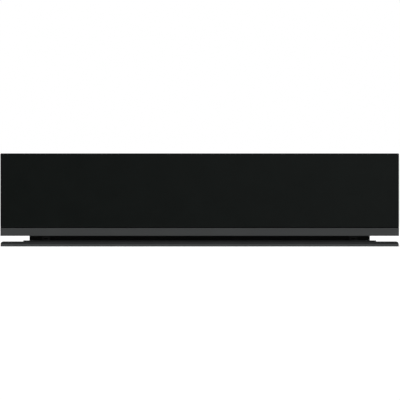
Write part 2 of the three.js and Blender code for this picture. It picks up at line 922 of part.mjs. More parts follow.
function antiSlipMat() {
  const face = roundedRectangle(
    plateHalfX - matMargin,
    plateHalfY - matMargin,
    matCornerRadius,
    plateCentre,
  );
  return extruded(face, "z", plateTop + seat, plateTop + seat + matThickness);
}

// ---------------------------------------------------------------------------------------------
// Controls
// ---------------------------------------------------------------------------------------------

/** A tray let into the rim of the inner front, with the knob and the pilot light in its well. */
function controlFascia() {
  const halfX = fasciaLength / 2;
  const halfY = fasciaWidth / 2;
  const centre = [fasciaCentreX, fasciaCentreY];
  const flange = roundedRectangle(halfX, halfY, fasciaBorder, centre);
  const wall = roundedRectangle(halfX - fasciaBorder, halfY - fasciaBorder, 1, centre);
  const inset = fasciaBorder + fasciaWall;
  const well = roundedRectangle(halfX - inset, halfY - inset, 1, centre);
  const hole = rod(
    shaftRadius + shaftClearance,
    "z",
    [knobX, fasciaCentreY],
    wellBottom - 1,
    wellFloor + 1,
  );
  const lensSeat = rod(
    lensRadius + seat,
    "z",
    [fasciaCentreX + lensOffset, fasciaCentreY],
    wellFloor - fasciaWall / 2,
    wellFloor + 1,
  );
  const topOfFlange = fasciaSeat + fasciaFlange;
  return cut(
    joined(
      extruded(flange, "z", fasciaSeat, topOfFlange, fasciaFlange / 4),
      extruded(wall, "z", wellBottom, fasciaSeat + fasciaFlange / 2),
    ),
    extruded(well, "z", wellFloor, topOfFlange + 1),
    hole,
    lensSeat,
  );
}

function indicatorLens() {
  const bottom = wellFloor - fasciaWall / 2 + seat;
  const top = bottom + lensHeight;
  const profile = outline([
    [0, bottom],
    [lensRadius, bottom],
    [lensRadius, top - lensRadius / 4],
    [lensRadius * 0.7, top - lensRadius / 12],
    [0, top],
  ]);
  const geometry = new THREE.LatheGeometry(profile.getPoints(), CIRCLE_SIDES);
  geometry.rotateX(Math.PI / 2);
  geometry.translate(fasciaCentreX + lensOffset, fasciaCentreY, 0);
  return solidFrom(geometry);
}

/** The selector knob with its fluted grip and its shaft, in one piece. */
function controlKnob() {
  const bottom = wellFloor + seat;
  const top = bottom + knobHeight;
  const grip = 0.86; // share of the radius at the upper end of the grip
  const profile = outline([
    [0, bottom - shaftLength],
    [shaftRadius, bottom - shaftLength],
    [shaftRadius, bottom],
    [knobRadius, bottom],
    [knobRadius, bottom + 2],
    [knobRadius * (grip + 0.04), bottom + 3],
    [knobRadius * grip, top - 1],
    [knobRadius * grip - 1, top],
    [0, top],
  ]);
  const geometry = new THREE.LatheGeometry(profile.getPoints(), CIRCLE_SIDES);
  geometry.rotateX(Math.PI / 2);
  const body = solidFrom(geometry);
  const flutes = [];
  for (let i = 0; i < knobFlutes; i++) {
    const angle = (2 * Math.PI * i) / knobFlutes;
    const at = knobRadius * (grip + 0.04) + knobFluteRadius * 0.3;
    const centre = [at * Math.cos(angle), at * Math.sin(angle)];
    flutes.push(rod(knobFluteRadius, "z", centre, bottom + 3.4, top + 1, 6));
  }
  return cut(body, flutes).translate([knobX, fasciaCentreY, 0]);
}

function rotarySwitch() {
  const top = wellBottom - seat;
  const shaftEnd = wellFloor + seat - shaftLength;
  const body = block(
    [knobX - switchLength / 2, knobX + switchLength / 2],
    [fasciaCentreY - switchWidth / 2, fasciaCentreY + switchWidth / 2],
    [top - switchHeight, top],
  );
  const bore = rod(
    shaftRadius + shaftClearance,
    "z",
    [knobX, fasciaCentreY],
    shaftEnd - seat,
    top + 1,
  );
  return cut(body, bore);
}

// ---------------------------------------------------------------------------------------------
// Runners
// ---------------------------------------------------------------------------------------------

const grooveRadius = ballRadius + ballClearance + runnerSheet / 2;
const outerBall = [runnerSheet + ballClearance + ballRadius, outerBallHeight];
const stackTurn = THREE.MathUtils.degToRad(ballStackAngle);
const innerBall = [
  outerBall[0] + 2 * grooveRadius * Math.cos(stackTurn),
  outerBall[1] + 2 * grooveRadius * Math.sin(stackTurn),
];

/** A runner's section, drawn as offset from the side panel and height, placed on one side. */
function runnerSection(path, thickness, side) {
  const placed = path.map(([offset, height]) => [side * (runnerWall - offset), runnerHeight + height]);
  return sheetOutline(placed, thickness);
}

/** The outer member: a channel whose edges curl round the outer balls. */
function runnerOuter(side) {
  const upper = [[runnerSheet / 2, 1], ...arc(outerBall, grooveRadius, 180, curlEnd, 6)];
  const section = runnerSection(mirroredPath(upper), runnerSheet, side);
  return extruded(section, "y", runnerFront, runnerFront + runnerLength);
}

/** The middle member: each edge runs under the outer balls and then over the inner ones. */
function runnerMiddle(side) {
  const turn = THREE.MathUtils.radToDeg(
    Math.acos((middleWebOffset - outerBall[0]) / grooveRadius),
  );
  const upper = [
    [middleWebOffset, 1],
    ...arc(outerBall, grooveRadius, -turn, ballStackAngle, 3),
    ...arc(innerBall, grooveRadius, 180 + ballStackAngle, -10, 6).slice(1),
  ];
  const section = runnerSection(mirroredPath(upper), runnerSheet, side);
  return extruded(section, "y", runnerFront, runnerFront + runnerLength);
}

/** The inner member: a channel whose edges cradle the inner balls. */
function runnerInner(side) {
  const upper = [
    ...arc(innerBall, grooveRadius, 255, 320, 3).reverse(),
  ];
  const shoulder = innerBall[1] - grooveRadius - runnerSheet / 3;
  const path = [[innerWebOffset, 1], [innerWebOffset, shoulder], ...upper];
  const section = runnerSection(mirroredPath(path), runnerSheet, side);
  return extruded(section, "y", runnerFront, runnerFront + runnerLength);
}

/** A ball cage: a strip with a row of balls along each edge. */
function ballCage(side, ball, stripOffset, stripReach) {
  const centreY = runnerFront + runnerLength / 2;
  const halfLength = (runnerLength - drawerTravel / 2) / 2 - cageMargin;
  const x = (offset) => side * (runnerWall - offset);
  const faces = [x(stripOffset), x(stripOffset + cageSheet)].sort((a, b) => a - b);
  const strip = block(
    faces,
    [centreY - halfLength, centreY + halfLength],
    [runnerHeight - stripReach, runnerHeight + stripReach],
  );
  const pitch = (2 * (halfLength - 2 * ballRadius)) / (ballsPerRow - 1);
  const balls = [];
  for (const row of [-1, 1]) {
    for (let i = 0; i < ballsPerRow; i++) {
      const geometry = new THREE.SphereGeometry(ballRadius, 6, 4);
      geometry.translate(
        x(ball[0]),
        centreY + (i - (ballsPerRow - 1) / 2) * pitch,
        runnerHeight + row * ball[1],
      );
      balls.push(solidFrom(geometry));
    }
  }
  return joined(strip, balls);
}

function outerCage(side) {
  const gap = middleWebOffset - runnerSheet / 2 - runnerSheet;
  return ballCage(side, outerBall, runnerSheet + (gap - cageSheet) / 2, outerBall[1] + ballRadius / 5);
}

function innerCage(side) {
  const bite = ballRadius / 10; // the strip holds the balls by this much
  const strip = innerBall[0] - ballRadius + bite - cageSheet;
  return ballCage(side, innerBall, strip, innerBall[1] + bite);
}

/** The Z-shaped bracket between the inner member and the drawer's wall. */
function runnerBracket(side) {
  const half = bracketSheet / 2;
  const outer = runnerWall - innerWebOffset - runnerSheet / 2 - seat - half;
  const inner = halfBulkhead + seat + half;
  const path = [
    [side * outer, runnerHeight + bracketStep * 0.75],
    [side * outer, runnerHeight - bracketStep],
    [side * inner, runnerHeight - bracketStep],
    [side * inner, runnerHeight - bracketDrop],
  ];
  const section = sheetOutline(path, bracketSheet);
  return extruded(section, "y", runnerFront, runnerFront + runnerLength);
}

// ---------------------------------------------------------------------------------------------
// Housing
// ---------------------------------------------------------------------------------------------

/** The base pan: a sunk floor that stands on the feet, with shoulders that carry the side panels. */
function basePan() {
  const t = housingSheet;
  const shoulder = shoulderTop - t / 2;
  const wall = sunkHalfWidth - t / 2;
  const floor = panFloor + t / 2;
  const edge = sideInside - seat;
  const half = [
    [wall, floor],
    [wall, shoulder],
    [edge, shoulder],
  ];
  const path = [...half.map(([x, z]) => [-x, z]).reverse(), ...half];
  const tongueHalfWidth = sunkHalfWidth - tongueInset;
  const tongueFront = trimFront + trimLipDepth + 2 * trimWall;
  const hat = extruded(sheetOutline(bent(path, bendRadius), t), "y", tongueFront, housingBack);
  const besideTongue = extruded(
    outline([
      [-halfHousing, 0],
      [-tongueHalfWidth, 0],
      [-tongueHalfWidth, floor + t],
      [tongueHalfWidth, floor + t],
      [tongueHalfWidth, 0],
      [halfHousing, 0],
      [halfHousing, shoulderTop + t],
      [-halfHousing, shoulderTop + t],
    ]),
    "y",
    tongueFront - 1,
    housingFront,
  );
  const ribHalfLength = housingHalfDepth - ribInset;
  return [-1, 0, 1].reduce((pan, place) => {
    const centre = [place * ribPitch, housingMiddle];
    return withBead(pan, ribWidth / 2, ribHalfLength, centre, [panFloor, panFloor + t], beadHeight);
  }, cut(hat, besideTongue));
}

/** A side panel with flanges on all four edges; the runner passes through the front one. */
function sidePanel(side) {
  const t = housingSheet;
  const across = (a, b) => [side * a, side * b].sort((p, q) => p - q);
  const flangeEdge = sideInside - sideFlange;
  const halfWindow = runnerWindow / 2;
  const firstVent = housingBack - sideVentInset - sideVentPitch * (sideVentCount - 1);
  const vents = [firstVent, sideVentPitch, sideVentCount];
  return cut(
    block(across(flangeEdge, halfHousing), [housingFront, housingBack], [sideBottom, sideTop]),
    block(
      across(flangeEdge - 1, sideInside),
      [housingFront + t, housingBack - t],
      [sideBottom + t, sideTop - t],
    ),
    block(
      across(flangeEdge - 1, sideInside - t),
      [housingFront - 1, housingFront + 2 * t],
      [runnerHeight - halfWindow, runnerHeight + halfWindow],
    ),
    slotRow("x", across(sideInside - 1, halfHousing + 1), vents, sideTop - ventDrop, ventSize),
  );
}

/** The top cover, with turned-down edges, pressed beads and slots over the rear. */
function topCover() {
  const t = housingSheet;
  const back = rearPanelBack + seat + t;
  const skirtBottom = housingTop - coverFlange;
  const inside = halfCover - t;
  const lipBottom = housingTop - coverFrontLip;
  const box = block([-halfCover, halfCover], [housingFront, back], [skirtBottom, housingTop]);
  const hollow = block(
    [-inside, inside],
    [housingFront + t, back - t],
    [skirtBottom - 1, coverUnderside],
  );
  const halfLip = sideInside - sideFlange - seat;
  const underLip = extruded(
    outline([
      [-inside, skirtBottom - 1],
      [inside, skirtBottom - 1],
      [inside, coverUnderside],
      [halfLip, coverUnderside],
      [halfLip, lipBottom],
      [-halfLip, lipBottom],
      [-halfLip, coverUnderside],
      [-inside, coverUnderside],
    ]),
    "y",
    housingFront - 1,
    housingFront + 2 * t,
  );
  const beadFront = housingFront + beadFrontInset;
  const beadBack = housingBack - beadRearInset;
  const faces = [coverUnderside, housingTop];
  const beaded = [-1, 0, 1].reduce((cover, place) => {
    const centre = [place * beadPitch, (beadFront + beadBack) / 2];
    return withBead(cover, beadWidth / 2, (beadBack - beadFront) / 2, centre, faces, beadHeight);
  }, cut(box, hollow, underLip));
  const vents = [(-coverVentPitch * (coverVentCount - 1)) / 2, coverVentPitch, coverVentCount];
  const through = [coverUnderside - 1, housingTop + 1];
  const ventMiddle = housingBack - coverVentInset;
  return cut(beaded, slotRow("z", through, vents, ventMiddle, [ventWidth, coverVentLength]));
}

/** The rear panel, as wide as the sides above the shoulders and as the sunk pan below them. */
function rearPanel() {
  const wide = halfHousing - seat;
  const narrow = sunkHalfWidth - housingSheet - seat;
  const low = panFloor + housingSheet + seat;
  const face = outline([
    [-wide, sideBottom],
    [-narrow, sideBottom],
    [-narrow, low],
    [narrow, low],
    [narrow, sideBottom],
    [wide, sideBottom],
    [wide, sideTop],
    [-wide, sideTop],
  ]);
  const through = [rearPanelFront - 1, rearPanelBack + 1];
  const inlet = rod(glandNeckRadius + seat, "y", [glandX, glandAboveShelf], ...through);
  const vents = [ventEndInset - halfHousing, ventPitch, ventCount];
  const upper = slotRow("y", through, vents, sideTop - ventDrop, ventSize);
  const lower = slotRow("y", through, vents, sideTop - ventDrop - ventRowPitch, ventSize);
  return cut(extruded(face, "y", rearPanelFront, rearPanelBack), inlet, upper, lower);
}

function foot(side) {
  const centre = [side * (sunkHalfWidth - footOffset), housingMiddle];
  const face = roundedRectangle(footWidth / 2, housingHalfDepth - footInset, 4, centre, 3);
  return extruded(face, "z", 0, panFloor - seat);
}

function supportPad(side) {
  const centre = [side * (halfHousing - padOffset), housingMiddle];
  const face = roundedRectangle(padWidth / 2, housingHalfDepth - padInset, 3, centre, 2);
  const bottom = housingTop + seat;
  return extruded(face, "z", bottom, bottom + padThickness);
}

function bumper(side) {
  const x = side * (sideInside - sideFlange + bumperRadius);
  const back = housingFront - seat;
  return rod(bumperRadius, "y", [x, bumperAboveShelf], back - bumperHeight, back, 16);
}

/** An angle on the side panel that screws to the front edge of the cabinet. */
function mountFlange(side) {
  const t = housingSheet;
  const leg = side * (halfHousing + seat + t / 2);
  const tip = side * (halfHousing + seat + mountFlangeReach);
  const face = housingFront - seat - t / 2;
  const path = [
    [leg, housingFront + mountFlangeLeg],
    [leg, face],
    [tip, face],
  ];
  const bottom = sideBottom + mountFlangeMargin;
  const top = housingTop - coverFlange - mountFlangeMargin;
  const angle = extruded(sheetOutline(path, t), "z", bottom, top);
  const holeX = side * (halfHousing + seat + t + (mountFlangeReach - t) / 2);
  const middle = (bottom + top) / 2;
  const holes = [-1, 1].map((place) =>
    rod(
      mountHoleRadius,
      "y",
      [holeX, middle + (place * mountHoleSpacing) / 2],
      face - t,
      face + t,
      12,
    ),
  );
  return cut(angle, holes);
}

// ---------------------------------------------------------------------------------------------
// Rear fittings: mains inlet, terminals, latch
// ---------------------------------------------------------------------------------------------

/** The cable gland: a six-sided collar outside, a neck through the panel and a nut inside. */
function cableGland() {
  const collar = rod(glandCollarRadius, "y", [glandX, glandAboveShelf], rearPanelBack + seat, rearFace, 6);
  const nut = rod(
    glandCollarRadius,
    "y",
    [glandX, glandAboveShelf],
    rearPanelFront - seat - glandNutDepth,
    rearPanelFront - seat,
    6,
  );
  const neck = rod(
    glandNeckRadius,
    "y",
    [glandX, glandAboveShelf],
    rearPanelFront - 2 * glandNutDepth,
    rearPanelBack + 2 * seat,
  );
  const bore = rod(
    glandBoreRadius,
    "y",
    [glandX, glandAboveShelf],
    rearPanelFront - 3 * glandNutDepth,
    rearFace + 1,
  );
  return cut(joined(collar, nut, neck), bore);
}

/** The terminal block: a base with three stepped clamps. */
function terminalBlock() {
  const back = rearPanelFront - seat;
  const half = terminalLength / 2;
  const base = block(
    [terminalX - half, terminalX + half],
    [back - terminalDepth / 2, back],
    [glandAboveShelf - terminalHeight / 2, glandAboveShelf + terminalHeight / 2],
  );
  const clampPitch = terminalLength / 3;
  const clamps = [-1, 0, 1].map((place) => {
    const x = terminalX + place * clampPitch;
    return block(
      [x - clampPitch * 0.36, x + clampPitch * 0.36],
      [back - terminalDepth, back - terminalDepth / 2 + 1],
      [glandAboveShelf - terminalHeight / 3, glandAboveShelf + terminalHeight / 3],
    );
  });
  return joined(base, clamps);
}

/** The hood over the terminal block, open towards the panel and beside the gland. */
function terminalCover() {
  const back = rearPanelFront - seat;
  const w = terminalCoverWall;
  const halfX = terminalLength / 2 + seat;
  const halfZ = terminalHeight / 2 + seat;
  const front = back - terminalDepth - seat;
  const shell = block(
    [terminalX - halfX - w, terminalX + halfX + w],
    [front - w, back],
    [glandAboveShelf - halfZ - w, glandAboveShelf + halfZ + w],
  );
  const hollow = block(
    [terminalX - halfX, terminalX + halfX],
    [front, back + 1],
    [glandAboveShelf - halfZ, glandAboveShelf + halfZ],
  );
  const cableNotch = block(
    [terminalX + halfX - 1, terminalX + halfX + w + 1],
    [back - terminalDepth / 2, back + 1],
    [glandAboveShelf - glandBoreRadius, glandAboveShelf + glandBoreRadius],
  );
  return cut(shell, hollow, cableNotch);
}

/** The latch body with its fixing plate on the rear panel, bored for the plunger. */
function latchBody() {
  const back = rearPanelFront - seat;
  const centre = [0, runnerHeight];
  const body = roundedRectangle(latchWidth / 2, latchHeight / 2 - 2, 3, centre);
  const plate = roundedRectangle(latchWidth * 0.8, latchHeight / 2, 3, centre);
  const boreEnd = plungerTip + plungerLength + plungerStroke + seat;
  return cut(
    joined(
      extruded(body, "y", latchFront, back - latchPlate / 2, 1),
      extruded(plate, "y", back - latchPlate, back),
    ),
    rod(latchBoreRadius, "y", centre, latchFront - 1, boreEnd),
  );
}

function latchPlunger() {
  const nose = 1;
  const profile = outline([
    [0, 0],
    [plungerRadius - nose, 0],
    [plungerRadius, nose],
    [plungerRadius, plungerLength],
    [0, plungerLength],
  ]);
  const geometry = new THREE.LatheGeometry(profile.getPoints(), CIRCLE_SIDES);
  geometry.translate(0, plungerTip, runnerHeight);
  return solidFrom(geometry);
}

function strikePlate() {
  const face = roundedRectangle(strikeWidth / 2, strikeHeight / 2, 3, [0, runnerHeight]);
  return extruded(face, "y", drawerBack + seat, strikeBack);
}

// ---------------------------------------------------------------------------------------------
// Assembly
// ---------------------------------------------------------------------------------------------

const warmingDrawer = new THREE.Group();

function add(name, solid, material) {
  const mesh = new THREE.Mesh(geometryFrom(solid), material);
  mesh.name = name;
  warmingDrawer.add(mesh);
}

add("front_glass", frontGlass(), blackGlass);
add("seam_gasket", seamGasket(), rubber);
add("front_strip", frontStrip(), graphiteMetal);
add("front_carrier", frontCarrier(), blackSheet);
add("front_seal", frontSeal(), rubber);
add("drawer_bulkhead", bulkhead(), blackSheet);
add("inner_front", innerFront(), stainless);
add("drawer_rear_wall", drawerRear(), stainless);
add("floor_pan", floorPan(), zincSteel);
add("insulation_board", insulationBoard(), fibreBoard);
add("heat_reflector", heatReflector(), aluminium);
add("heating_element", heatingElement(), elementSheath);
add("thermostat", thermostat(), whitePlastic);
add("thermal_cutout", thermalCutout(), whitePlastic);
add("heat_spreader", heatSpreader(), aluminium);
add("hot_plate", hotPlate(), blackGlass);
add("plate_frame", plateFrame(), zincSteel);
add("plate_seal", plateSeal(), rubber);
add("anti_slip_mat", antiSlipMat(), rubber);
add("control_fascia", controlFascia(), blackPlastic);
add("rotary_switch", rotarySwitch(), whitePlastic);
add("indicator_lens", indicatorLens(), amberLens);
add("control_knob", controlKnob(), blackPlastic);
add("strike_plate", strikePlate(), zincSteel);

add("base_trim", baseTrim(), graphiteMetal);
add("base_rail", baseRail(), darkTrim);
add("base_pan", basePan(), zincSteel);
add("top_cover", topCover(), zincSteel);
add("rear_panel", rearPanel(), zincSteel);
add("cable_gland", cableGland(), blackPlastic);
add("terminal_block", terminalBlock(), whitePlastic);
add("terminal_cover", terminalCover(), blackPlastic);
add("latch_body", latchBody(), blackPlastic);
add("latch_plunger", latchPlunger(), whitePlastic);

for (const [name, side] of [
  ["left", -1],
  ["right", 1],
]) {
  add(`front_adjuster_${name}`, frontAdjuster(side), blackPlastic);
  add(`drawer_side_${name}`, drawerSide(side), stainless);
  add(`runner_bracket_${name}`, runnerBracket(side), zincSteel);
  add(`runner_inner_${name}`, runnerInner(side), runnerSteel);
  add(`runner_middle_${name}`, runnerMiddle(side), runnerSteel);
  add(`runner_outer_${name}`, runnerOuter(side), runnerSteel);
  add(`ball_cage_inner_${name}`, innerCage(side), ballSteel);
  add(`ball_cage_outer_${name}`, outerCage(side), ballSteel);
  add(`side_panel_${name}`, sidePanel(side), zincSteel);
  add(`mount_flange_${name}`, mountFlange(side), zincSteel);
  add(`bumper_${name}`, bumper(side), rubber);
  add(`support_pad_${name}`, supportPad(side), blackPlastic);
  add(`foot_${name}`, foot(side), rubber);
}

export default warmingDrawer;
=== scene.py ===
"""Looks of the built-in warming drawer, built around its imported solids.

Sizes in the classes are in millimetres and become metres where a mesh is made. Most places are
read from the boxes of the solids, so that a piece follows the solid that carries it.
"""

import json
import logging
import math
from dataclasses import dataclass, replace
from enum import Enum
from typing import Any, Optional, Sequence

import bmesh
import bpy
from mathutils import Matrix, Vector

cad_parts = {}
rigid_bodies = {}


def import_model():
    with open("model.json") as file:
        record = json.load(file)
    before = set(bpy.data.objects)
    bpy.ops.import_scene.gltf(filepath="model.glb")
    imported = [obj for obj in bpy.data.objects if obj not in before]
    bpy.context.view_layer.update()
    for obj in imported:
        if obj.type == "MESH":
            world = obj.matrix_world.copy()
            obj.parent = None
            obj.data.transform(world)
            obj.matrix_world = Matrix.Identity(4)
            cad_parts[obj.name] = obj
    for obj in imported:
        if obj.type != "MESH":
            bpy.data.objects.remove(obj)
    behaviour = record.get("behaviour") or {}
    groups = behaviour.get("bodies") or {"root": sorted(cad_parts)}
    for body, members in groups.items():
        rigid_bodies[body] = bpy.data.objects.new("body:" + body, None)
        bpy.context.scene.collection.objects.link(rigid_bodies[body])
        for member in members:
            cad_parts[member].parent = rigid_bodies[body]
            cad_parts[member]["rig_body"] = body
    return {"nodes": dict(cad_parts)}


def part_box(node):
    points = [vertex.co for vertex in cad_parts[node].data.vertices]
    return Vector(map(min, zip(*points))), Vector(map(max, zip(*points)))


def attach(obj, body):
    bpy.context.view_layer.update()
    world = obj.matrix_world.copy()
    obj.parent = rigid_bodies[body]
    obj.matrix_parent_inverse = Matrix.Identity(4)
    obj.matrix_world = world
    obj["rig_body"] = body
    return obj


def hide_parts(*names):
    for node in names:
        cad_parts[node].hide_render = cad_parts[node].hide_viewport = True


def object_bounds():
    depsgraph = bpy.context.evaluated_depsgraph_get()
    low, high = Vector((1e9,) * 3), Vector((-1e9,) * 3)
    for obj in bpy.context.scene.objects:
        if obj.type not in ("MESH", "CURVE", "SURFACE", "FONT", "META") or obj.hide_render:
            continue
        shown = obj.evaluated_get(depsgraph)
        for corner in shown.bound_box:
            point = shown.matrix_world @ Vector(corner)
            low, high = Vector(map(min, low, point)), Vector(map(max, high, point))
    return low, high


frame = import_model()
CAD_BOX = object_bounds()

log = logging.getLogger("warming_drawer")

MM = 0.001
Colour = tuple[float, float, float]
Triple = tuple[float, float, float]
Place = tuple[Triple, Triple]  # a point and the direction that its piece faces
Profile = list[tuple[float, float]]  # radius and height of each point of a turned piece
Inputs = dict[Any, Any]
Node = bpy.types.Node
Socket = bpy.types.NodeSocket
Tree = bpy.types.NodeTree
Mesh = bpy.types.Mesh
Piece = bpy.types.Object
Shape = bmesh.types.BMesh

GEOMETRY = "NodeSocketGeometry"
FLOAT = "NodeSocketFloat"
VECTOR = "NodeSocketVector"
MATERIAL = "NodeSocketMaterial"
SOCKET_TYPES = {int: "NodeSocketInt", float: FLOAT, tuple: VECTOR}


# ----------------------------------------
# Node trees
# ----------------------------------------


class Graph:
    """Adds and wires the nodes of one tree."""

    def __init__(self, tree: Tree) -> None:
        """Takes the tree that the nodes go into."""
        self.tree = tree

    @property
    def place(self) -> Socket:
        """Where a point lies on its piece, which the surface patterns follow."""
        return self.node("ShaderNodeTexCoord").outputs["Object"]

    def node(self, kind: str, inputs: Optional[Inputs] = None, **settings: Any) -> Node:
        """Adds a node.

        Args:
            kind: Blender's name of the node type.
            inputs: A value or a socket for each input, by name or number.
            **settings: Properties of the node, which are set before its inputs.

        Returns:
            The new node.
        """
        made = self.tree.nodes.new(kind)
        for name, value in settings.items():
            setattr(made, name, value)
        for key, value in (inputs or {}).items():
            self.feed(made.inputs[key], value)
        return made

    def socket(self, kind: str, inputs: Optional[Inputs] = None, **settings: Any) -> Socket:
        """The first output of a node that is added in the same way."""
        return self.node(kind, inputs, **settings).outputs[0]

    def feed(self, socket: Socket, value: Any) -> None:
        """Links a socket to an input, or sets its value.

        Args:
            socket: The input.
            value: An output socket, a list of them for a multi-input, or a plain value.
        """
        if isinstance(value, Socket):
            self.tree.links.new(value, socket)
        elif isinstance(value, list):
            for one in value:
                self.tree.links.new(one, socket)
        else:
            socket.default_value = value

    def calc(self, operation: str, *values: Any) -> Socket:
        """The result of a Math node on up to three numbers or sockets."""
        return self.socket("ShaderNodeMath", dict(enumerate(values)), operation=operation)

    def times(self, first: Any, second: Any) -> Socket:
        """The product of two numbers or sockets."""
        return self.calc("MULTIPLY", first, second)

    def plus(self, first: Any, second: Any) -> Socket:
        """The sum of two numbers or sockets."""
        return self.calc("ADD", first, second)

    def minus(self, first: Any, second: Any) -> Socket:
        """The difference of two numbers or sockets."""
        return self.calc("SUBTRACT", first, second)

    def vector(self, operation: str, *values: Any, output: str = "Vector") -> Socket:
        """The "Vector" or "Value" output of a Vector Math node on vectors or sockets."""
        made = self.node("ShaderNodeVectorMath", dict(enumerate(values)), operation=operation)
        return made.outputs[output]

    def remap(
        self, value: Any, low: Any, high: Any, to_low: Any = 0.0, to_high: Any = 1.0
    ) -> Socket:
        """A value moved smoothly from one range to another, and held at its ends.

        Args:
            value: The socket to remap.
            low: The lower end of the range it comes from.
            high: The upper end of that range.
            to_low: The result at the lower end.
            to_high: The result at the upper end.

        Returns:
            The output socket.
        """
        ends = {0: value, 1: low, 2: high, 3: to_low, 4: to_high}
        return self.socket("ShaderNodeMapRange", ends, interpolation_type="SMOOTHSTEP")

    def mix(self, factor: Any, first: Any, second: Any) -> Socket:
        """A mix of two colours.

        Args:
            factor: 0 for the first colour and 1 for the second.
            first: A colour or a socket.
            second: A colour or a socket.

        Returns:
            The output socket.
        """
        pair = [(*c, 1.0) if isinstance(c, tuple) else c for c in (first, second)]
        made = self.node("ShaderNodeMix", {0: factor, 6: pair[0], 7: pair[1]}, data_type="RGBA")
        return made.outputs[2]

    def xyz(self, x: Any = 0.0, y: Any = 0.0, z: Any = 0.0) -> Socket:
        """A vector from three numbers or sockets."""
        return self.socket("ShaderNodeCombineXYZ", {0: x, 1: y, 2: z})

    def polar(self, radius: Any, angle: Any, height: Any = 0.0) -> Socket:
        """A vector from a radius, an angle about Z and a height."""
        x, y = (self.times(radius, self.calc(way, angle)) for way in ("COSINE", "SINE"))
        return self.xyz(x, y, height)

    def split(self, vector: Any) -> list[Socket]:
        """The three numbers of a vector."""
        return list(self.node("ShaderNodeSeparateXYZ", {0: vector}).outputs)

    def moved(self, geometry: Any, offset: Any, rotation: Triple = (0.0, 0.0, 0.0)) -> Socket:
        """Geometry that is turned and then moved."""
        inputs = {"Geometry": geometry, "Translation": offset, "Rotation": rotation}
        return self.socket("GeometryNodeTransform", inputs)

    def join(self, parts: list[Socket]) -> Socket:
        """Several geometries as one."""
        return self.socket("GeometryNodeJoinGeometry", {0: parts})

    def circle(self, sides: Any, radius: Any) -> Socket:
        """A round curve."""
        return self.socket(
            "GeometryNodeCurvePrimitiveCircle", {"Resolution": sides, "Radius": radius}
        )

    def welded(self, geometry: Socket) -> Socket:
        """Geometry whose points are merged where they meet."""
        return self.socket("GeometryNodeMergeByDistance", {0: geometry, "Distance": 1e-6})

    def copies(self, points: Socket, piece: Socket, **inputs: Any) -> Socket:
        """A copy of a piece on each point."""
        inputs = {"Points": points, "Instance": piece, **inputs}
        return self.socket("GeometryNodeInstanceOnPoints", inputs)

    def finish(self, geometry: Socket, given: Any, out: Any) -> Tree:
        """Ends a geometry tree: realizes the instances and sets the material.

        Args:
            geometry: The geometry to put out.
            given: The sockets that come in.
            out: The sockets that go out.

        Returns:
            The tree.
        """
        real = self.socket("GeometryNodeRealizeInstances", {0: geometry})
        self.feed(
            out["Piece"], self.socket("GeometryNodeSetMaterial", {0: real, 2: given["Finish"]})
        )
        return self.tree


def new_tree(
    name: str, kind: str, inputs: Inputs, outputs: dict[str, str]
) -> tuple[Graph, Any, Any]:
    """Makes a node tree with named inputs and outputs.

    Args:
        name: The tree's name.
        kind: "GeometryNodeTree" or "ShaderNodeTree".
        inputs: The starting value of each input, or its socket type where it has none.
        outputs: The socket type of each output.

    Returns:
        The tree's graph, the sockets that come in and the sockets that go out.
    """
    tree = bpy.data.node_groups.new(name, kind)
    for label, value in inputs.items():
        socket_type = SOCKET_TYPES.get(type(value), value)
        socket = tree.interface.new_socket(label, in_out="INPUT", socket_type=socket_type)
        if socket_type != value:
            socket.default_value = value
    for label, socket_type in outputs.items():
        tree.interface.new_socket(label, in_out="OUTPUT", socket_type=socket_type)
    graph = Graph(tree)
    return graph, graph.node("NodeGroupInput").outputs, graph.node("NodeGroupOutput").inputs


def shape_tree(name: str, sizes: Inputs) -> tuple[Graph, Any, Any]:
    """A geometry tree that makes a piece from a mesh, named sizes and a finish."""
    inputs = {"Start": GEOMETRY, **sizes, "Finish": MATERIAL}
    return new_tree(name, "GeometryNodeTree", inputs, {"Piece": GEOMETRY})


def emptied(owner: Any) -> Graph:
    """Clears the nodes of a material or world.

    Args:
        owner: The material or world.

    Returns:
        The graph of its tree, with no node in it.
    """
    owner.use_nodes = True
    owner.node_tree.nodes.clear()
    return Graph(owner.node_tree)


# ----------------------------------------
# Surface effects shared by the finishes
# ----------------------------------------


class Effect(Enum):
    """A surface effect that several finishes use."""

    SOFT_EDGES = "soft_edges"
    GRAIN = "grain"
    BLOTCHES = "blotches"
    SPANGLE = "spangle"
    SPECKS = "specks"


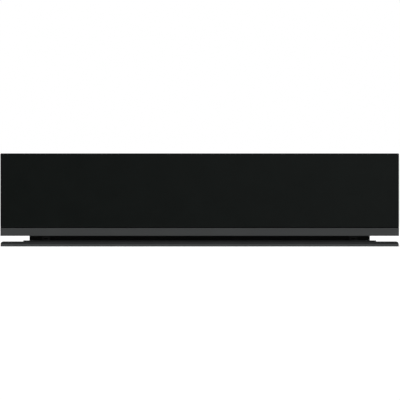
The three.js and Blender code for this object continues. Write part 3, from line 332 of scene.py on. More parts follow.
class Effects:
    """Builds each shared shader group once."""

    def tree(self, effect: Effect) -> Tree:
        """The shader group of an effect, which is built when it is first asked for."""
        known = bpy.data.node_groups.get(effect.value)
        return known or getattr(self, effect.value)()

    @staticmethod
    def start(effect: Effect, inputs: Inputs, outputs: dict[str, str]) -> tuple[Graph, Any, Any]:
        """A shader group that bears the effect's name."""
        return new_tree(effect.value, "ShaderNodeTree", inputs, outputs)

    def soft_edges(self) -> Tree:
        """A normal that rounds the edges, and a mask of the rounded edges that lightens them:
        rubbed wear on most finishes, and a painted highlight on the front strip and the trim.

        Returns:
            The tree.
        """
        inputs = {"Radius": 0.0004, "Wear": 0.5, "Breakup": 220.0}
        graph, given, out = self.start(Effect.SOFT_EDGES, inputs, {"Normal": VECTOR, "Edge": FLOAT})
        rounded = graph.socket("ShaderNodeBevel", {"Radius": given["Radius"]}, samples=4)
        true = graph.node("ShaderNodeNewGeometry").outputs["True Normal"]
        turn = graph.vector("DOT_PRODUCT", rounded, true, output="Value")
        edge = graph.remap(graph.minus(1.0, turn), 0.02, 0.22)
        noise = graph.socket(
            "ShaderNodeTexNoise", {"Vector": graph.place, "Scale": given["Breakup"], "Detail": 3.0}
        )
        broken = graph.remap(noise, 0.38, 0.62, 0.35, 1.0)
        graph.feed(out["Normal"], rounded)
        graph.feed(out["Edge"], graph.times(graph.times(edge, broken), given["Wear"]))
        return graph.tree

    def grain(self) -> Tree:
        """Noise that can be drawn out into brush or roll lines.

        Returns:
            The tree.
        """
        inputs = {"Stretch": (1.0, 1.0, 1.0), "Scale": 900.0, "Detail": 4.0}
        graph, given, out = self.start(Effect.GRAIN, inputs, {"Value": FLOAT})
        drawn = graph.vector("MULTIPLY", graph.place, given["Stretch"])
        noise = graph.socket(
            "ShaderNodeTexNoise",
            {
                "Vector": drawn, "Scale": given["Scale"], "Detail": given["Detail"],
                "Roughness": 0.62,
            },
        )
        graph.feed(out["Value"], graph.remap(noise, 0.3, 0.7))
        return graph.tree

    def blotches(self) -> Tree:
        """Broad soft patches, for smudges, dust and the uneven colour of a coat.

        Returns:
            The tree.
        """
        inputs = {"Scale": 9.0, "From": 0.45, "To": 0.7}
        graph, given, out = self.start(Effect.BLOTCHES, inputs, {"Mask": FLOAT})
        noise = graph.socket(
            "ShaderNodeTexNoise",
            {"Vector": graph.place, "Scale": given["Scale"], "Detail": 6.0, "Distortion": 0.6},
        )
        graph.feed(out["Mask"], graph.remap(noise, given["From"], given["To"]))
        return graph.tree

    def spangle(self) -> Tree:
        """The crystals of hot-dip zinc: one tone for each and a finer shading inside it.

        Returns:
            The tree.
        """
        graph, given, out = self.start(Effect.SPANGLE, {"Scale": 130.0}, {"Tone": FLOAT})
        where = graph.place
        warp = graph.node("ShaderNodeTexNoise", {"Vector": where, "Scale": 260.0, "Detail": 2.0})
        bent = graph.vector("MULTIPLY", warp.outputs[1], (0.004, 0.004, 0.004))
        bent = graph.vector("ADD", where, bent)
        tones = []
        for factor in (1.0, 2.7):
            scale = graph.times(given["Scale"], factor)
            cells = graph.node("ShaderNodeTexVoronoi", {"Vector": bent, "Scale": scale})
            tones.append(graph.split(cells.outputs["Color"])[0])
        fine = graph.times(tones[1], 0.35)
        graph.feed(out["Tone"], graph.calc("MULTIPLY_ADD", tones[0], 0.65, fine))
        return graph.tree

    def specks(self) -> Tree:
        """Scattered small specks, for fibres and dust.

        Returns:
            The tree.
        """
        inputs = {"Scale": 400.0, "Size": 0.25}
        graph, given, out = self.start(Effect.SPECKS, inputs, {"Mask": FLOAT})
        cells = graph.node("ShaderNodeTexVoronoi", {"Vector": graph.place, "Scale": given["Scale"]})
        near = graph.minus(given["Size"], cells.outputs["Distance"])
        rare = graph.calc("GREATER_THAN", graph.split(cells.outputs["Color"])[1], 0.55)
        graph.feed(out["Mask"], graph.times(graph.remap(near, 0.0, 0.08), rare))
        return graph.tree


EFFECTS = Effects()


# ----------------------------------------
# Finishes
# ----------------------------------------


class Grain(Enum):
    """The way a surface's grain runs, as a stretch along X, Y and Z."""

    EVEN = (1.0, 1.0, 1.0)
    ALONG_X = (0.015, 1.0, 1.0)
    ALONG_Y = (1.0, 0.015, 1.0)


@dataclass(frozen=True)
class Finish:
    """A painted, plated or moulded surface.

    Sizes are in millimetres and colours are linear.
    """

    name: str
    slot: str
    colour: Colour
    roughness: float
    metallic: float = 0.0
    grain: Grain = Grain.EVEN
    grain_size: float = 0.9
    tone: float = 0.12  # how far the colour strays from its middle, as a share
    rough_spread: float = 0.08
    relief: float = 0.004
    edge_radius: float = 0.4
    # The lighter colour of the rounded edges and its strength: rubbed wear, and a painted highlight
    # on the front strip and the trim.
    edge_colour: Optional[Colour] = None
    wear: float = 0.0
    smudge: float = 0.05  # how much rougher and paler the handled patches are
    specular: float = 0.5
    anisotropic: float = 0.0
    transmission: float = 0.0
    ior: float = 1.5

    def material(self) -> bpy.types.Material:
        """The node material of this finish, which is built when it is first asked for.

        Returns:
            The material.
        """
        name = f"{self.name}.finish"
        known = bpy.data.materials.get(name)
        if known:
            return known
        made = bpy.data.materials.new(name)
        made.diffuse_color = (*self.colour, 1.0)
        graph = emptied(made)
        texture = self.pattern(graph)
        patches = self.group(graph, Effect.BLOTCHES, Scale=11.0).outputs["Mask"]
        edges = self.group(graph, Effect.SOFT_EDGES, Radius=self.edge_radius * MM, Wear=self.wear)
        pale = tuple(min(1.0, c * 1.25 + 0.004) for c in self.colour)
        dusted = graph.times(patches, self.smudge * 2.0)
        colour = graph.mix(dusted, self.coloured(graph, texture), pale)
        # Lighter rounded edges: rubbed wear, and on the front strip and the trim a painted
        # highlight.
        colour = graph.mix(edges.outputs["Edge"], colour, self.edge_colour or pale)
        base = self.roughness - self.rough_spread / 2
        rough = graph.calc("MULTIPLY_ADD", texture, self.rough_spread, base)
        rough = graph.calc("MULTIPLY_ADD", patches, self.smudge, rough)
        bump = {
            "Strength": 1.0,
            "Distance": self.relief * MM,
            "Height": texture,
            "Normal": edges.outputs["Normal"],
        }
        shader = graph.socket(
            "ShaderNodeBsdfPrincipled",
            {
                "Base Color": colour,
                "Metallic": self.metallic,
                "Roughness": rough,
                "IOR": self.ior,
                "Specular IOR Level": self.specular,
                "Anisotropic": self.anisotropic,
                "Transmission Weight": self.transmission,
                "Normal": graph.socket("ShaderNodeBump", bump),
            },
        )
        graph.node("ShaderNodeOutputMaterial", {"Surface": shader})
        return made

    def group(self, graph: Graph, effect: Effect, **values: Any) -> Node:
        """Places a shared effect in a material, with a value for each input that is named."""
        return graph.node("ShaderNodeGroup", values, node_tree=EFFECTS.tree(effect))

    def shade(self, factor: float) -> Colour:
        """The colour made lighter or darker by a factor."""
        return tuple(min(1.0, c * factor) for c in self.colour)

    def drawn_grain(self, graph: Graph, size: float, stretch: Triple) -> Socket:
        """The shared grain effect at a size in millimetres, drawn out along an axis."""
        grain = self.group(graph, Effect.GRAIN, Stretch=stretch, Scale=1.0 / (size * MM))
        return grain.outputs["Value"]

    def pattern(self, graph: Graph) -> Socket:
        """The value from 0 to 1 that the tone, the roughness and the relief follow."""
        return self.drawn_grain(graph, self.grain_size, self.grain.value)

    def coloured(self, graph: Graph, texture: Socket) -> Socket:
        """The colour over the surface, from the value of the pattern."""
        return graph.mix(texture, self.shade(1 - self.tone), self.shade(1 + self.tone))


@dataclass(frozen=True)
class Zinc(Finish):
    """Hot-dip galvanised sheet with its crystals."""

    crystal: float = 6.0

    def pattern(self, graph: Graph) -> Socket:
        """A tone for each crystal, with a fine grain in it.

        Args:
            graph: The graph of the material.

        Returns:
            The value that the tone, the roughness and the relief follow.
        """
        cells = self.group(graph, Effect.SPANGLE, Scale=1.0 / (self.crystal * MM))
        crystals = graph.times(cells.outputs["Tone"], 0.8)
        return graph.calc("MULTIPLY_ADD", super().pattern(graph), 0.2, crystals)


@dataclass(frozen=True)
class Brushed(Finish):
    """Sheet that is brushed one way, with hair lines and a few longer streaks."""

    streak: float = 0.9
    streak_share: float = 0.5

    def pattern(self, graph: Graph) -> Socket:
        """Hair lines and streaks along the brushing.

        Args:
            graph: The graph of the material.

        Returns:
            The value that the tone, the roughness and the relief follow.
        """
        longer = tuple(value * 0.25 if value < 1.0 else 1.0 for value in self.grain.value)
        streaks = graph.times(self.drawn_grain(graph, self.streak, longer), self.streak_share)
        return graph.calc("MULTIPLY_ADD", super().pattern(graph), 1.0 - self.streak_share, streaks)


@dataclass(frozen=True)
class TwoTone(Brushed):
    """A finish that changes to a darker second colour above a height: partly a darker coat and
    partly painted shade, for the shade under an overhang.
    """

    # Partly a dark coat and partly painted shade.
    upper: Colour = (0.02, 0.02, 0.02)
    change: float = 3.75
    blend: float = 0.1

    def coloured(self, graph: Graph, texture: Socket) -> Socket:
        """The colour over the surface, by its height over the shelf; the darker colour above is
        partly painted shade.

        Args:
            graph: The graph of the material.
            texture: The value of the pattern.

        Returns:
            The colour.
        """
        low, high = ((self.change + way * self.blend) * MM for way in (-1, 1))
        above = graph.remap(graph.split(graph.place)[2], low, high)
        return graph.mix(above, super().coloured(graph, texture), self.upper)


@dataclass(frozen=True)
class Fibre(Finish):
    """Pressed fibre with pale and dark strands."""

    strand: Colour = (0.3, 0.24, 0.17)

    def coloured(self, graph: Graph, texture: Socket) -> Socket:
        """The colour over the surface, with strands and specks."""
        specks = self.group(graph, Effect.SPECKS, Scale=520.0, Size=0.3)
        return graph.mix(specks.outputs["Mask"], super().coloured(graph, texture), self.strand)


@dataclass(frozen=True)
class HeatTinted(Finish):
    """Steel with the straw and blue bands that heat leaves."""

    straw: Colour = (0.26, 0.17, 0.08)
    blue: Colour = (0.07, 0.08, 0.12)

    def coloured(self, graph: Graph, texture: Socket) -> Socket:
        """The colour over the surface, in broad bands.

        Args:
            graph: The graph of the material.
            texture: The value of the pattern.

        Returns:
            The colour.
        """
        bands = self.group(graph, Effect.BLOTCHES, Scale=26.0, From=0.35, To=0.65)
        tint = graph.mix(bands.outputs["Mask"], self.straw, self.blue)
        return graph.mix(graph.times(texture, 0.5), self.colour, tint)


BLACK_GLASS = Finish(
    "black_glass", "black_glass", (0.0071, 0.0086, 0.0079), 0.03, grain_size=40.0, tone=0.05,
    rough_spread=0.015, relief=0.0004, edge_radius=0.3, edge_colour=(0.014, 0.021, 0.018),
    wear=0.7, smudge=0.008, specular=0.42,
)
PLATE_GLASS = Finish(
    "plate_glass", "black_glass", (0.006, 0.006, 0.0062), 0.09, grain_size=6.0, tone=0.1,
    rough_spread=0.04, relief=0.001, edge_colour=(0.02, 0.026, 0.024), wear=0.8, smudge=0.04,
)
# The lighter edge colours of the strip and the trim are a painted highlight along their edges.
GRAPHITE = Brushed(
    "graphite_metal", "graphite_metal", (0.0385, 0.0412, 0.0415), 0.44, metallic=0.05,
    grain=Grain.ALONG_X, grain_size=0.2, tone=0.06, relief=0.0006,
    edge_colour=(0.062, 0.066, 0.067), wear=0.7,
)
# The riser above 3.75 mm takes the darker upper colour: partly a dark coat and partly painted shade
# under the strip's overhang.
TRIM = TwoTone(
    "trim_metal", "graphite_metal", (0.05, 0.0535, 0.0545), 0.44, metallic=0.05,
    grain=Grain.ALONG_X, grain_size=0.2, tone=0.06, relief=0.0006, specular=0.3,
    edge_colour=(0.066, 0.069, 0.07), wear=0.4, upper=(0.0066, 0.0077, 0.0081),
)
DARK_TRIM = Brushed(
    "dark_trim", "dark_trim", (0.0145, 0.016, 0.0162), 0.5, metallic=0.2, grain=Grain.ALONG_X,
    grain_size=0.2, tone=0.06, relief=0.0006, edge_colour=(0.03, 0.031, 0.032), wear=0.4,
    specular=0.3,
)
# Black paint set darker still, as painted shade of the recess behind the front.
BLACK_SHEET_WITH_RECESS_SHADE = Finish(
    "black_sheet", "black_sheet", (0.0034, 0.0041, 0.0041), 0.55, grain_size=0.7, tone=0.2,
    relief=0.012, edge_colour=(0.016, 0.0165, 0.017), wear=0.5, specular=0.16, smudge=0.02,
)
ZINC = Zinc(
    "zinc_steel", "zinc_steel", (0.43, 0.45, 0.465), 0.38, metallic=0.9, grain_size=1.4, tone=0.11,
    rough_spread=0.14, relief=0.0015, edge_colour=(0.62, 0.64, 0.65), wear=0.7, smudge=0.07,
)
STAINLESS_X = Brushed(
    "stainless_along_x", "stainless", (0.55, 0.545, 0.53), 0.38, metallic=0.84,
    grain=Grain.ALONG_X, grain_size=0.2, tone=0.09, rough_spread=0.14, relief=0.0008,
    edge_colour=(0.68, 0.68, 0.67), wear=0.6, anisotropic=0.4, smudge=0.03,
)
STAINLESS_Y = replace(STAINLESS_X, name="stainless_along_y", grain=Grain.ALONG_Y)
RUNNER_STEEL = Brushed(
    "runner_steel", "runner_steel", (0.54, 0.555, 0.57), 0.27, metallic=1.0,
    grain=Grain.ALONG_Y, grain_size=0.3, tone=0.06, relief=0.0008, streak=2.4,
    edge_colour=(0.7, 0.71, 0.72), wear=0.7,
)
BALL_STEEL = Finish(
    "ball_steel", "ball_steel", (0.66, 0.67, 0.68), 0.1, metallic=1.0, grain_size=0.8, tone=0.04,
    rough_spread=0.04, relief=0.0003, smudge=0.03,
)
SCREW_STEEL = Finish(
    "screw_steel", "runner_steel", (0.5, 0.515, 0.53), 0.33, metallic=1.0, grain_size=0.5,
    tone=0.14, rough_spread=0.14, relief=0.0015, edge_radius=0.15, edge_colour=(0.72, 0.73, 0.74),
    wear=0.9,
)
ALUMINIUM = Brushed(
    "aluminium_sheet", "aluminium_sheet", (0.6, 0.61, 0.62), 0.36, metallic=1.0,
    grain=Grain.ALONG_Y, grain_size=0.3, tone=0.06, relief=0.0008,
    edge_colour=(0.75, 0.75, 0.76), wear=0.5,
)
SHEATH = HeatTinted(
    "element_sheath", "element_sheath", (0.12, 0.1, 0.085), 0.48, metallic=0.9, grain_size=0.6,
    relief=0.003,
)
FIBRE = Fibre(
    "fibre_board", "fibre_board", (0.58, 0.52, 0.41), 0.95, grain_size=1.2, tone=0.14,
    relief=0.12, specular=0.2,
)
WHITE_PLASTIC = Finish(
    "white_plastic", "white_plastic", (0.6, 0.6, 0.575), 0.46, grain_size=0.35, tone=0.03,
    relief=0.004, smudge=0.04, edge_colour=(0.66, 0.66, 0.64), wear=0.3,
)
BLACK_PLASTIC = Finish(
    "black_plastic", "black_plastic", (0.011, 0.0113, 0.0116), 0.44, grain_size=0.3, tone=0.14,
    relief=0.006, edge_colour=(0.03, 0.03, 0.031), wear=0.6,
)
ADJUSTER = Finish(
    "adjuster_plastic", "black_plastic", (0.0072, 0.0077, 0.0078), 0.5, grain_size=0.3, tone=0.14,
    relief=0.006, edge_colour=(0.012, 0.0123, 0.0125), wear=0.6, specular=0.25, smudge=0.02,
)
AMBER = Finish(
    "amber_lens", "amber_lens", (0.85, 0.3, 0.04), 0.14, grain_size=1.0, tone=0.05,
    rough_spread=0.04, relief=0.0005, transmission=0.55,
)
RUBBER = Finish(
    "black_rubber", "black_rubber", (0.0085, 0.0085, 0.0088), 0.78, grain_size=0.5, tone=0.2,
    relief=0.01, specular=0.35, smudge=0.08,
)
# Rubber set near black, darker than the plain rubber, as painted shade in the seam under the glass,
# the bulkhead's running gap and the adjusters' slots.
RUBBER_WITH_PAINTED_SHADE = Finish(
    "seam_rubber", "black_rubber", (0.0018, 0.002, 0.002), 0.8, grain_size=0.5, tone=0.2,
    relief=0.01, specular=0.1, smudge=0.02, edge_colour=(0.004, 0.004, 0.004),
)
PRINT = Finish(
    "dial_print", "white_plastic", (0.62, 0.63, 0.62), 0.5, grain_size=0.25, tone=0.05,
    relief=0.0005, smudge=0.02,
)


# ----------------------------------------
# Geometry trees
# ----------------------------------------


HEAD_SIDES = 20  # faces round a fastener's head


def fastener_tree() -> Tree:
    """Domed heads on points, each turned to its point's outward direction, with a cross recess.

    Returns:
        The tree.
    """
    head_size = {"Head Radius": 0.0034, "Head Height": 0.0015}
    recess_size = {"Recess Width": 0.0008, "Recess Depth": 0.0008}
    counts = {"Sides": HEAD_SIDES, "Seed": 5}
    graph, given, out = shape_tree("fastener_heads", {**head_size, **recess_size, **counts})
    radius, height, sides = given["Head Radius"], given["Head Height"], given["Sides"]
    rings = ((1.0, 0.0), (1.0, 0.3), (0.87, 0.7), (0.58, 1.0))
    parts = []
    for (wide, low), (narrow, high) in zip(rings, rings[1:]):
        cone = {
            "Vertices": sides,
            "Radius Bottom": graph.times(radius, wide),
            "Radius Top": graph.times(radius, narrow),
            "Depth": graph.times(height, high - low),
        }
        band = graph.node("GeometryNodeMeshCone", cone, fill_type="NONE").outputs["Mesh"]
        parts.append(graph.moved(band, graph.xyz(z=graph.times(height, low))))
    for share, level in ((rings[0][0], 0.0), (rings[-1][0], 1.0)):
        disc = {"Vertices": sides, "Radius": graph.times(radius, share)}
        face = graph.socket("GeometryNodeMeshCircle", disc, fill_type="NGON")
        if level == 0.0:
            face = graph.socket("GeometryNodeFlipFaces", {0: face})
        parts.append(graph.moved(face, graph.xyz(z=graph.times(height, level))))
    head = graph.welded(graph.join(parts))
    reach = graph.times(radius, 1.15)
    tall = graph.times(given["Recess Depth"], 2.0)
    width = given["Recess Width"]
    bars = []
    for size in (graph.xyz(reach, width, tall), graph.xyz(width, reach, tall)):
        bar = graph.socket("GeometryNodeMeshCube", {"Size": size})
        bars.append(graph.moved(bar, graph.xyz(z=height)))
    recessed = graph.socket(
        "GeometryNodeMeshBoolean",
        {"Mesh 1": head, "Mesh 2": bars},
        operation="DIFFERENCE",
        solver="EXACT",
    )
    depth = {0: given["Recess Depth"], 1: 1e-6}
    plain = graph.socket("FunctionNodeCompare", depth, operation="LESS_THAN")
    choice = {"Switch": plain, "False": recessed, "True": head}
    shape = graph.socket("GeometryNodeSwitch", choice)
    outward = graph.socket(
        "GeometryNodeInputNamedAttribute", {0: "outward"}, data_type="FLOAT_VECTOR"
    )
    facing = graph.socket("FunctionNodeAlignRotationToVector", {2: outward}, axis="Z")
    turn = graph.node("FunctionNodeRandomValue", {2: 0.0, 3: math.tau, "Seed": given["Seed"]})
    about = {"Axis": (0.0, 0.0, 1.0), "Angle": turn.outputs[1]}
    spin = graph.socket("FunctionNodeAxisAngleToRotation", about)
    placed = graph.socket(
        "FunctionNodeRotateRotation", {0: facing, 1: spin}, rotation_space="LOCAL"
    )
    return graph.finish(graph.copies(given["Start"], shape, Rotation=placed), given, out)


def nub_tree() -> Tree:
    """Staggered rows of low nubs over a rectangle with round corners.

    Returns:
        The tree.
    """
    area = {"Length X": 0.4, "Length Y": 0.4, "Corner Radius": 0.012, "Pitch": 0.012}
    nub_size = {"Nub Radius": 0.002, "Nub Height": 0.0006, "Centre": (0.0, 0.0, 0.0)}
    graph, given, out = shape_tree("mat_nubs", {**area, **nub_size})
    lengths = (given["Length X"], given["Length Y"])
    pitch, corner, radius = given["Pitch"], given["Corner Radius"], given["Nub Radius"]
    grids = []
    for fewer in (0.0, 1.0):
        whole = [graph.calc("FLOOR", graph.calc("DIVIDE", length, pitch)) for length in lengths]
        counts = [graph.minus(count, fewer) for count in whole]
        sizes = [graph.times(graph.minus(count, 1.0), pitch) for count in counts]
        grid = {
            "Size X": sizes[0], "Size Y": sizes[1],
            "Vertices X": counts[0], "Vertices Y": counts[1],
        }
        grids.append(graph.socket("GeometryNodeMeshGrid", grid))
    half = graph.vector("MULTIPLY", graph.xyz(*lengths), (0.5, 0.5, 0.5))
    inner = graph.vector("SUBTRACT", half, graph.xyz(corner, corner))
    place = graph.socket("GeometryNodeInputPosition")
    past = graph.vector("SUBTRACT", graph.vector("ABSOLUTE", place), inner)
    beyond = graph.vector(
        "MAXIMUM", graph.vector("MULTIPLY", past, (1.0, 1.0, 0.0)), (0.0, 0.0, 0.0)
    )
    distance = graph.vector("LENGTH", beyond, output="Value")
    limit = graph.minus(corner, graph.times(radius, 1.5))
    outside = graph.socket("FunctionNodeCompare", {0: distance, 1: limit}, operation="GREATER_THAN")
    points = graph.socket("GeometryNodeDeleteGeometry", {0: graph.join(grids), 1: outside})
    cone = {
        "Vertices": 8,
        "Radius Bottom": radius,
        "Radius Top": graph.times(radius, 0.55),
        "Depth": given["Nub Height"],
    }
    nubs = graph.copies(points, graph.socket("GeometryNodeMeshCone", cone))
    return graph.finish(graph.moved(nubs, given["Centre"]), given, out)


def ball_tree() -> Tree:
    """Two rows of balls, each ball held by a ring of the cage.

    Returns:
        The tree.
    """
    rows = {"Count": 8, "Pitch": 0.03, "Row Offset": 0.018, "Ball Radius": 0.0025}
    ring_size = {"Ring Offset": 0.002, "Ring Wire": 0.0002, "Centre": (0.0, 0.0, 0.0)}
    graph, given, out = shape_tree("ball_rows", {**rows, **ring_size})
    radius, aside, pitch = given["Ball Radius"], given["Ring Offset"], given["Pitch"]
    ball = {"Segments": 20, "Rings": 12, "Radius": radius}
    square = graph.minus(graph.times(radius, radius), graph.times(aside, aside))
    hoop = {0: graph.circle(20, graph.calc("SQRT", square)), 1: graph.circle(6, given["Ring Wire"])}
    ring = graph.socket("GeometryNodeCurveToMesh", hoop)
    upright = graph.moved(ring, graph.xyz(x=aside), (0.0, math.pi / 2, 0.0))
    held = graph.join([graph.socket("GeometryNodeMeshUVSphere", ball), upright])
    start = graph.times(graph.times(graph.minus(given["Count"], 1.0), pitch), -0.5)
    lines = []
    for side in (-1.0, 1.0):
        line = {
            "Count": given["Count"],
            "Start Location": graph.xyz(y=start, z=graph.times(given["Row Offset"], side)),
            "Offset": graph.xyz(y=pitch),
        }
        lines.append(graph.socket("GeometryNodeMeshLine", line))
    balls = graph.copies(graph.join(lines), held)
    return graph.finish(graph.moved(balls, given["Centre"]), given, out)


def turned_tree() -> Tree:
    """A turned piece from the points of its profile, with flutes between two heights.

    Returns:
        The tree.
    """
    flutes = {"Flutes": 0, "Flute Depth": 0.0, "Flutes From": 0.0, "Flutes To": 1.0}
    graph, given, out = shape_tree("turned_piece", {"Sides": 96, **flutes})
    size = graph.node("GeometryNodeAttributeDomainSize", {0: given["Start"]})
    rings = size.outputs["Point Count"]
    columns = graph.plus(given["Sides"], 1.0)
    net = {"Size X": 1.0, "Size Y": 1.0, "Vertices X": columns, "Vertices Y": rings}
    grid = graph.socket("GeometryNodeMeshGrid", net)
    position = graph.socket("GeometryNodeInputPosition")
    across, along, _ = graph.split(position)
    angle = graph.times(graph.plus(across, 0.5), math.tau)
    step = graph.times(graph.plus(along, 0.5), graph.minus(rings, 1.0))
    profile = graph.socket(
        "GeometryNodeSampleIndex",
        {"Geometry": given["Start"], "Value": position, "Index": graph.calc("ROUND", step)},
        data_type="FLOAT_VECTOR",
        domain="POINT",
    )
    radius, _, height = graph.split(profile)
    wave = graph.calc("COSINE", graph.times(angle, given["Flutes"]))
    hollow = graph.calc("POWER", graph.calc("MULTIPLY_ADD", wave, 0.5, 0.5), 1.6)
    above = graph.calc("GREATER_THAN", height, given["Flutes From"])
    below = graph.calc("LESS_THAN", height, given["Flutes To"])
    depth = graph.times(given["Flute Depth"], graph.times(above, below))
    place = graph.polar(graph.minus(radius, graph.times(depth, hollow)), angle, height)
    shaped = graph.socket("GeometryNodeSetPosition", {0: grid, "Position": place})
    return graph.finish(graph.welded(shaped), given, out)


def tube_tree() -> Tree:
    """A tube along a path with rounded corners, which can be flattened about a centre.

    Returns:
        The tree.
    """
    sizes = {"Radius": 0.003, "Corner Radius": 0.01, "Corner Steps": 8, "Sides": 16}
    squash = {"Flatten": (1.0, 1.0, 1.0), "Centre": (0.0, 0.0, 0.0)}
    graph, given, out = shape_tree("tube_on_path", {**sizes, **squash})
    path = graph.socket("GeometryNodeMeshToCurve", {0: given["Start"]})
    corners = {0: path, "Count": given["Corner Steps"], "Radius": given["Corner Radius"]}
    rounded = graph.socket("GeometryNodeFilletCurve", corners, mode="POLY")
    section = graph.circle(given["Sides"], given["Radius"])
    tube = graph.socket("GeometryNodeCurveToMesh", {0: rounded, 1: section, "Fill Caps": True})
    position = graph.socket("GeometryNodeInputPosition")
    offset = graph.vector("SUBTRACT", position, given["Centre"])
    flat = graph.vector("ADD", graph.vector("MULTIPLY", offset, given["Flatten"]), given["Centre"])
    shaped = graph.socket("GeometryNodeSetPosition", {0: tube, "Position": flat})
    return graph.finish(shaped, given, out)


def dot_tree() -> Tree:
    """Thin printed dots along an arc.

    Returns:
        The tree.
    """
    arc_size = {"Count": 5, "Start Angle": 0.0, "Step Angle": 0.5, "Arc Radius": 0.01}
    dot_size = {"Dot Radius": 0.0003, "Thickness": 0.0001, "Centre": (0.0, 0.0, 0.0)}
    graph, given, out = shape_tree("dots_on_arc", {**arc_size, **dot_size})
    line = graph.socket("GeometryNodeMeshLine", {"Count": given["Count"]})
    index = graph.socket("GeometryNodeInputIndex")
    angle = graph.calc("MULTIPLY_ADD", index, given["Step Angle"], given["Start Angle"])
    place = graph.polar(given["Arc Radius"], angle)
    arc = graph.socket("GeometryNodeSetPosition", {0: line, "Position": place})
    dot = {"Vertices": 14, "Radius": given["Dot Radius"], "Depth": given["Thickness"]}
    dots = graph.copies(arc, graph.socket("GeometryNodeMeshCylinder", dot))
    return graph.finish(graph.moved(dots, given["Centre"]), given, out)


TREES: dict[str, Tree] = {}


# ----------------------------------------
# Meshes
# ----------------------------------------


GROWN_CREASE = 35.0  # degrees, over which an edge of a grown piece stays sharp
SOLID_CREASE = 40.0  # degrees, over which an edge of a solid is rounded


@dataclass(frozen=True)
class Box:
    """The lowest and the highest corner of a solid, in millimetres."""

    low: Vector
    high: Vector

    @classmethod
    def of(cls, node: str) -> "Box":
        """The box of a solid."""
        low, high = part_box(node)
        return cls(low / MM, high / MM)

    @property
    def centre(self) -> Vector:
        """The middle of the box."""
        return (self.low + self.high) / 2

    @property
    def size(self) -> Vector:
        """The box's lengths along X, Y and Z."""
        return self.high - self.low


def metres(point: Sequence[float]) -> Triple:
    """A point in millimetres as metres."""
    return tuple(value * MM for value in point)


def new_object(name: str, mesh: Mesh) -> Piece:
    """Links a mesh to the scene as an object at the origin.

    Args:
        name: The object's name.
        mesh: The mesh.

    Returns:
        The object.
    """
    made = bpy.data.objects.new(name, mesh)
    bpy.context.scene.collection.objects.link(made)
    return made


def plain_mesh(name: str, points: Sequence[Sequence[float]], joined: bool = False) -> Mesh:
    """A mesh of points.

    Args:
        name: The mesh's name.
        points: The points, in millimetres.
        joined: Whether edges join them to an open chain.

    Returns:
        The mesh, in metres.
    """
    mesh = bpy.data.meshes.new(name)
    chain = [(i, i + 1) for i in range(len(points) - 1)] if joined else []
    mesh.from_pydata([metres(point) for point in points], chain, [])
    return mesh


def drawn_mesh(name: str, shape: Shape) -> Mesh:
    """A mesh from a shape that was being edited.

    Args:
        name: The mesh's name.
        shape: The shape, which is let go.

    Returns:
        The mesh.
    """
    mesh = bpy.data.meshes.new(name)
    shape.to_mesh(mesh)
    shape.free()
    return mesh


def flattened(host: Piece) -> Mesh:
    """The host's mesh with its modifiers worked in, as a plain mesh; the host is removed.

    Args:
        host: An object with modifiers, or a text.

    Returns:
        The plain mesh.
    """
    bpy.context.view_layer.update()
    depsgraph = bpy.context.evaluated_depsgraph_get()
    mesh = bpy.data.meshes.new_from_object(host.evaluated_get(depsgraph), depsgraph=depsgraph)
    bpy.data.objects.remove(host)
    return mesh


def creased(mesh: Mesh, crease: float) -> None:
    """Smooth shading, except at edges sharper than a crease in degrees."""
    mesh.shade_smooth()
    mesh.set_sharp_from_angle(angle=math.radians(crease))


def grown(name: str, start: Mesh, tree: Tree, sizes: Inputs, finish: Finish) -> Piece:
    """Runs a geometry tree on a mesh and keeps the result as a plain mesh.

    Args:
        name: The piece's name.
        start: The points or path that the tree starts from.
        tree: The geometry tree.
        sizes: A value for each of the tree's named inputs.
        finish: The finish that the tree sets.

    Returns:
        The piece.
    """
    host = new_object(name, start)
    modifier = host.modifiers.new("grow", "NODES")
    modifier.node_group = tree
    sockets = {item.name: item.identifier for item in tree.interface.items_tree}
    for label, value in {**sizes, "Finish": finish.material()}.items():
        modifier[sockets[label]] = value
    mesh = flattened(host)
    creased(mesh, GROWN_CREASE)
    log.info("%s: %d faces from %s", name, len(mesh.polygons), tree.name)
    return new_object(name, mesh)


def with_round_edges(name: str, shape: Shape, edges: list[Any], width: float, steps: int) -> Piece:
    """A piece whose edges are rounded and whose large faces stay flat.

    Args:
        name: The piece's name.
        shape: The shape that is being edited, which is let go.
        edges: The edges to round.
        width: How far the rounding reaches from an edge, in millimetres.
        steps: Faces across the rounding.

    Returns:
        The piece, at the origin.
    """
    reach = width * MM
    bmesh.ops.bevel(shape, geom=edges, offset=reach, segments=steps, profile=0.5, affect="EDGES")
    mesh = drawn_mesh(name, shape)
    creased(mesh, SOLID_CREASE)
    host = new_object("shading", mesh)
    weighted = host.modifiers.new("weighted", "WEIGHTED_NORMAL")
    weighted.mode = "FACE_AREA"
    weighted.keep_sharp = True
    return new_object(name, flattened(host))


def softened(node: str, width: float, steps: int) -> Piece:
    """A copy of a solid with rounded edges and smooth shading.

    Args:
        node: The solid's name.
        width: How far the rounding reaches from an edge, in millimetres.
        steps: Faces across the rounding.

    Returns:
        The copy.
    """
    shape = bmesh.new()
    shape.from_mesh(frame["nodes"][node].data)
    bmesh.ops.remove_doubles(shape, verts=shape.verts, dist=0.002 * MM)
    flat = math.radians(0.4)
    bmesh.ops.dissolve_limit(shape, angle_limit=flat, verts=shape.verts, edges=shape.edges)
    sharp = [
        edge
        for edge in shape.edges
        if len(edge.link_faces) == 2 and edge.calc_face_angle(0.0) > math.radians(SOLID_CREASE)
    ]
    return with_round_edges(node + ".finished", shape, sharp, width, steps)


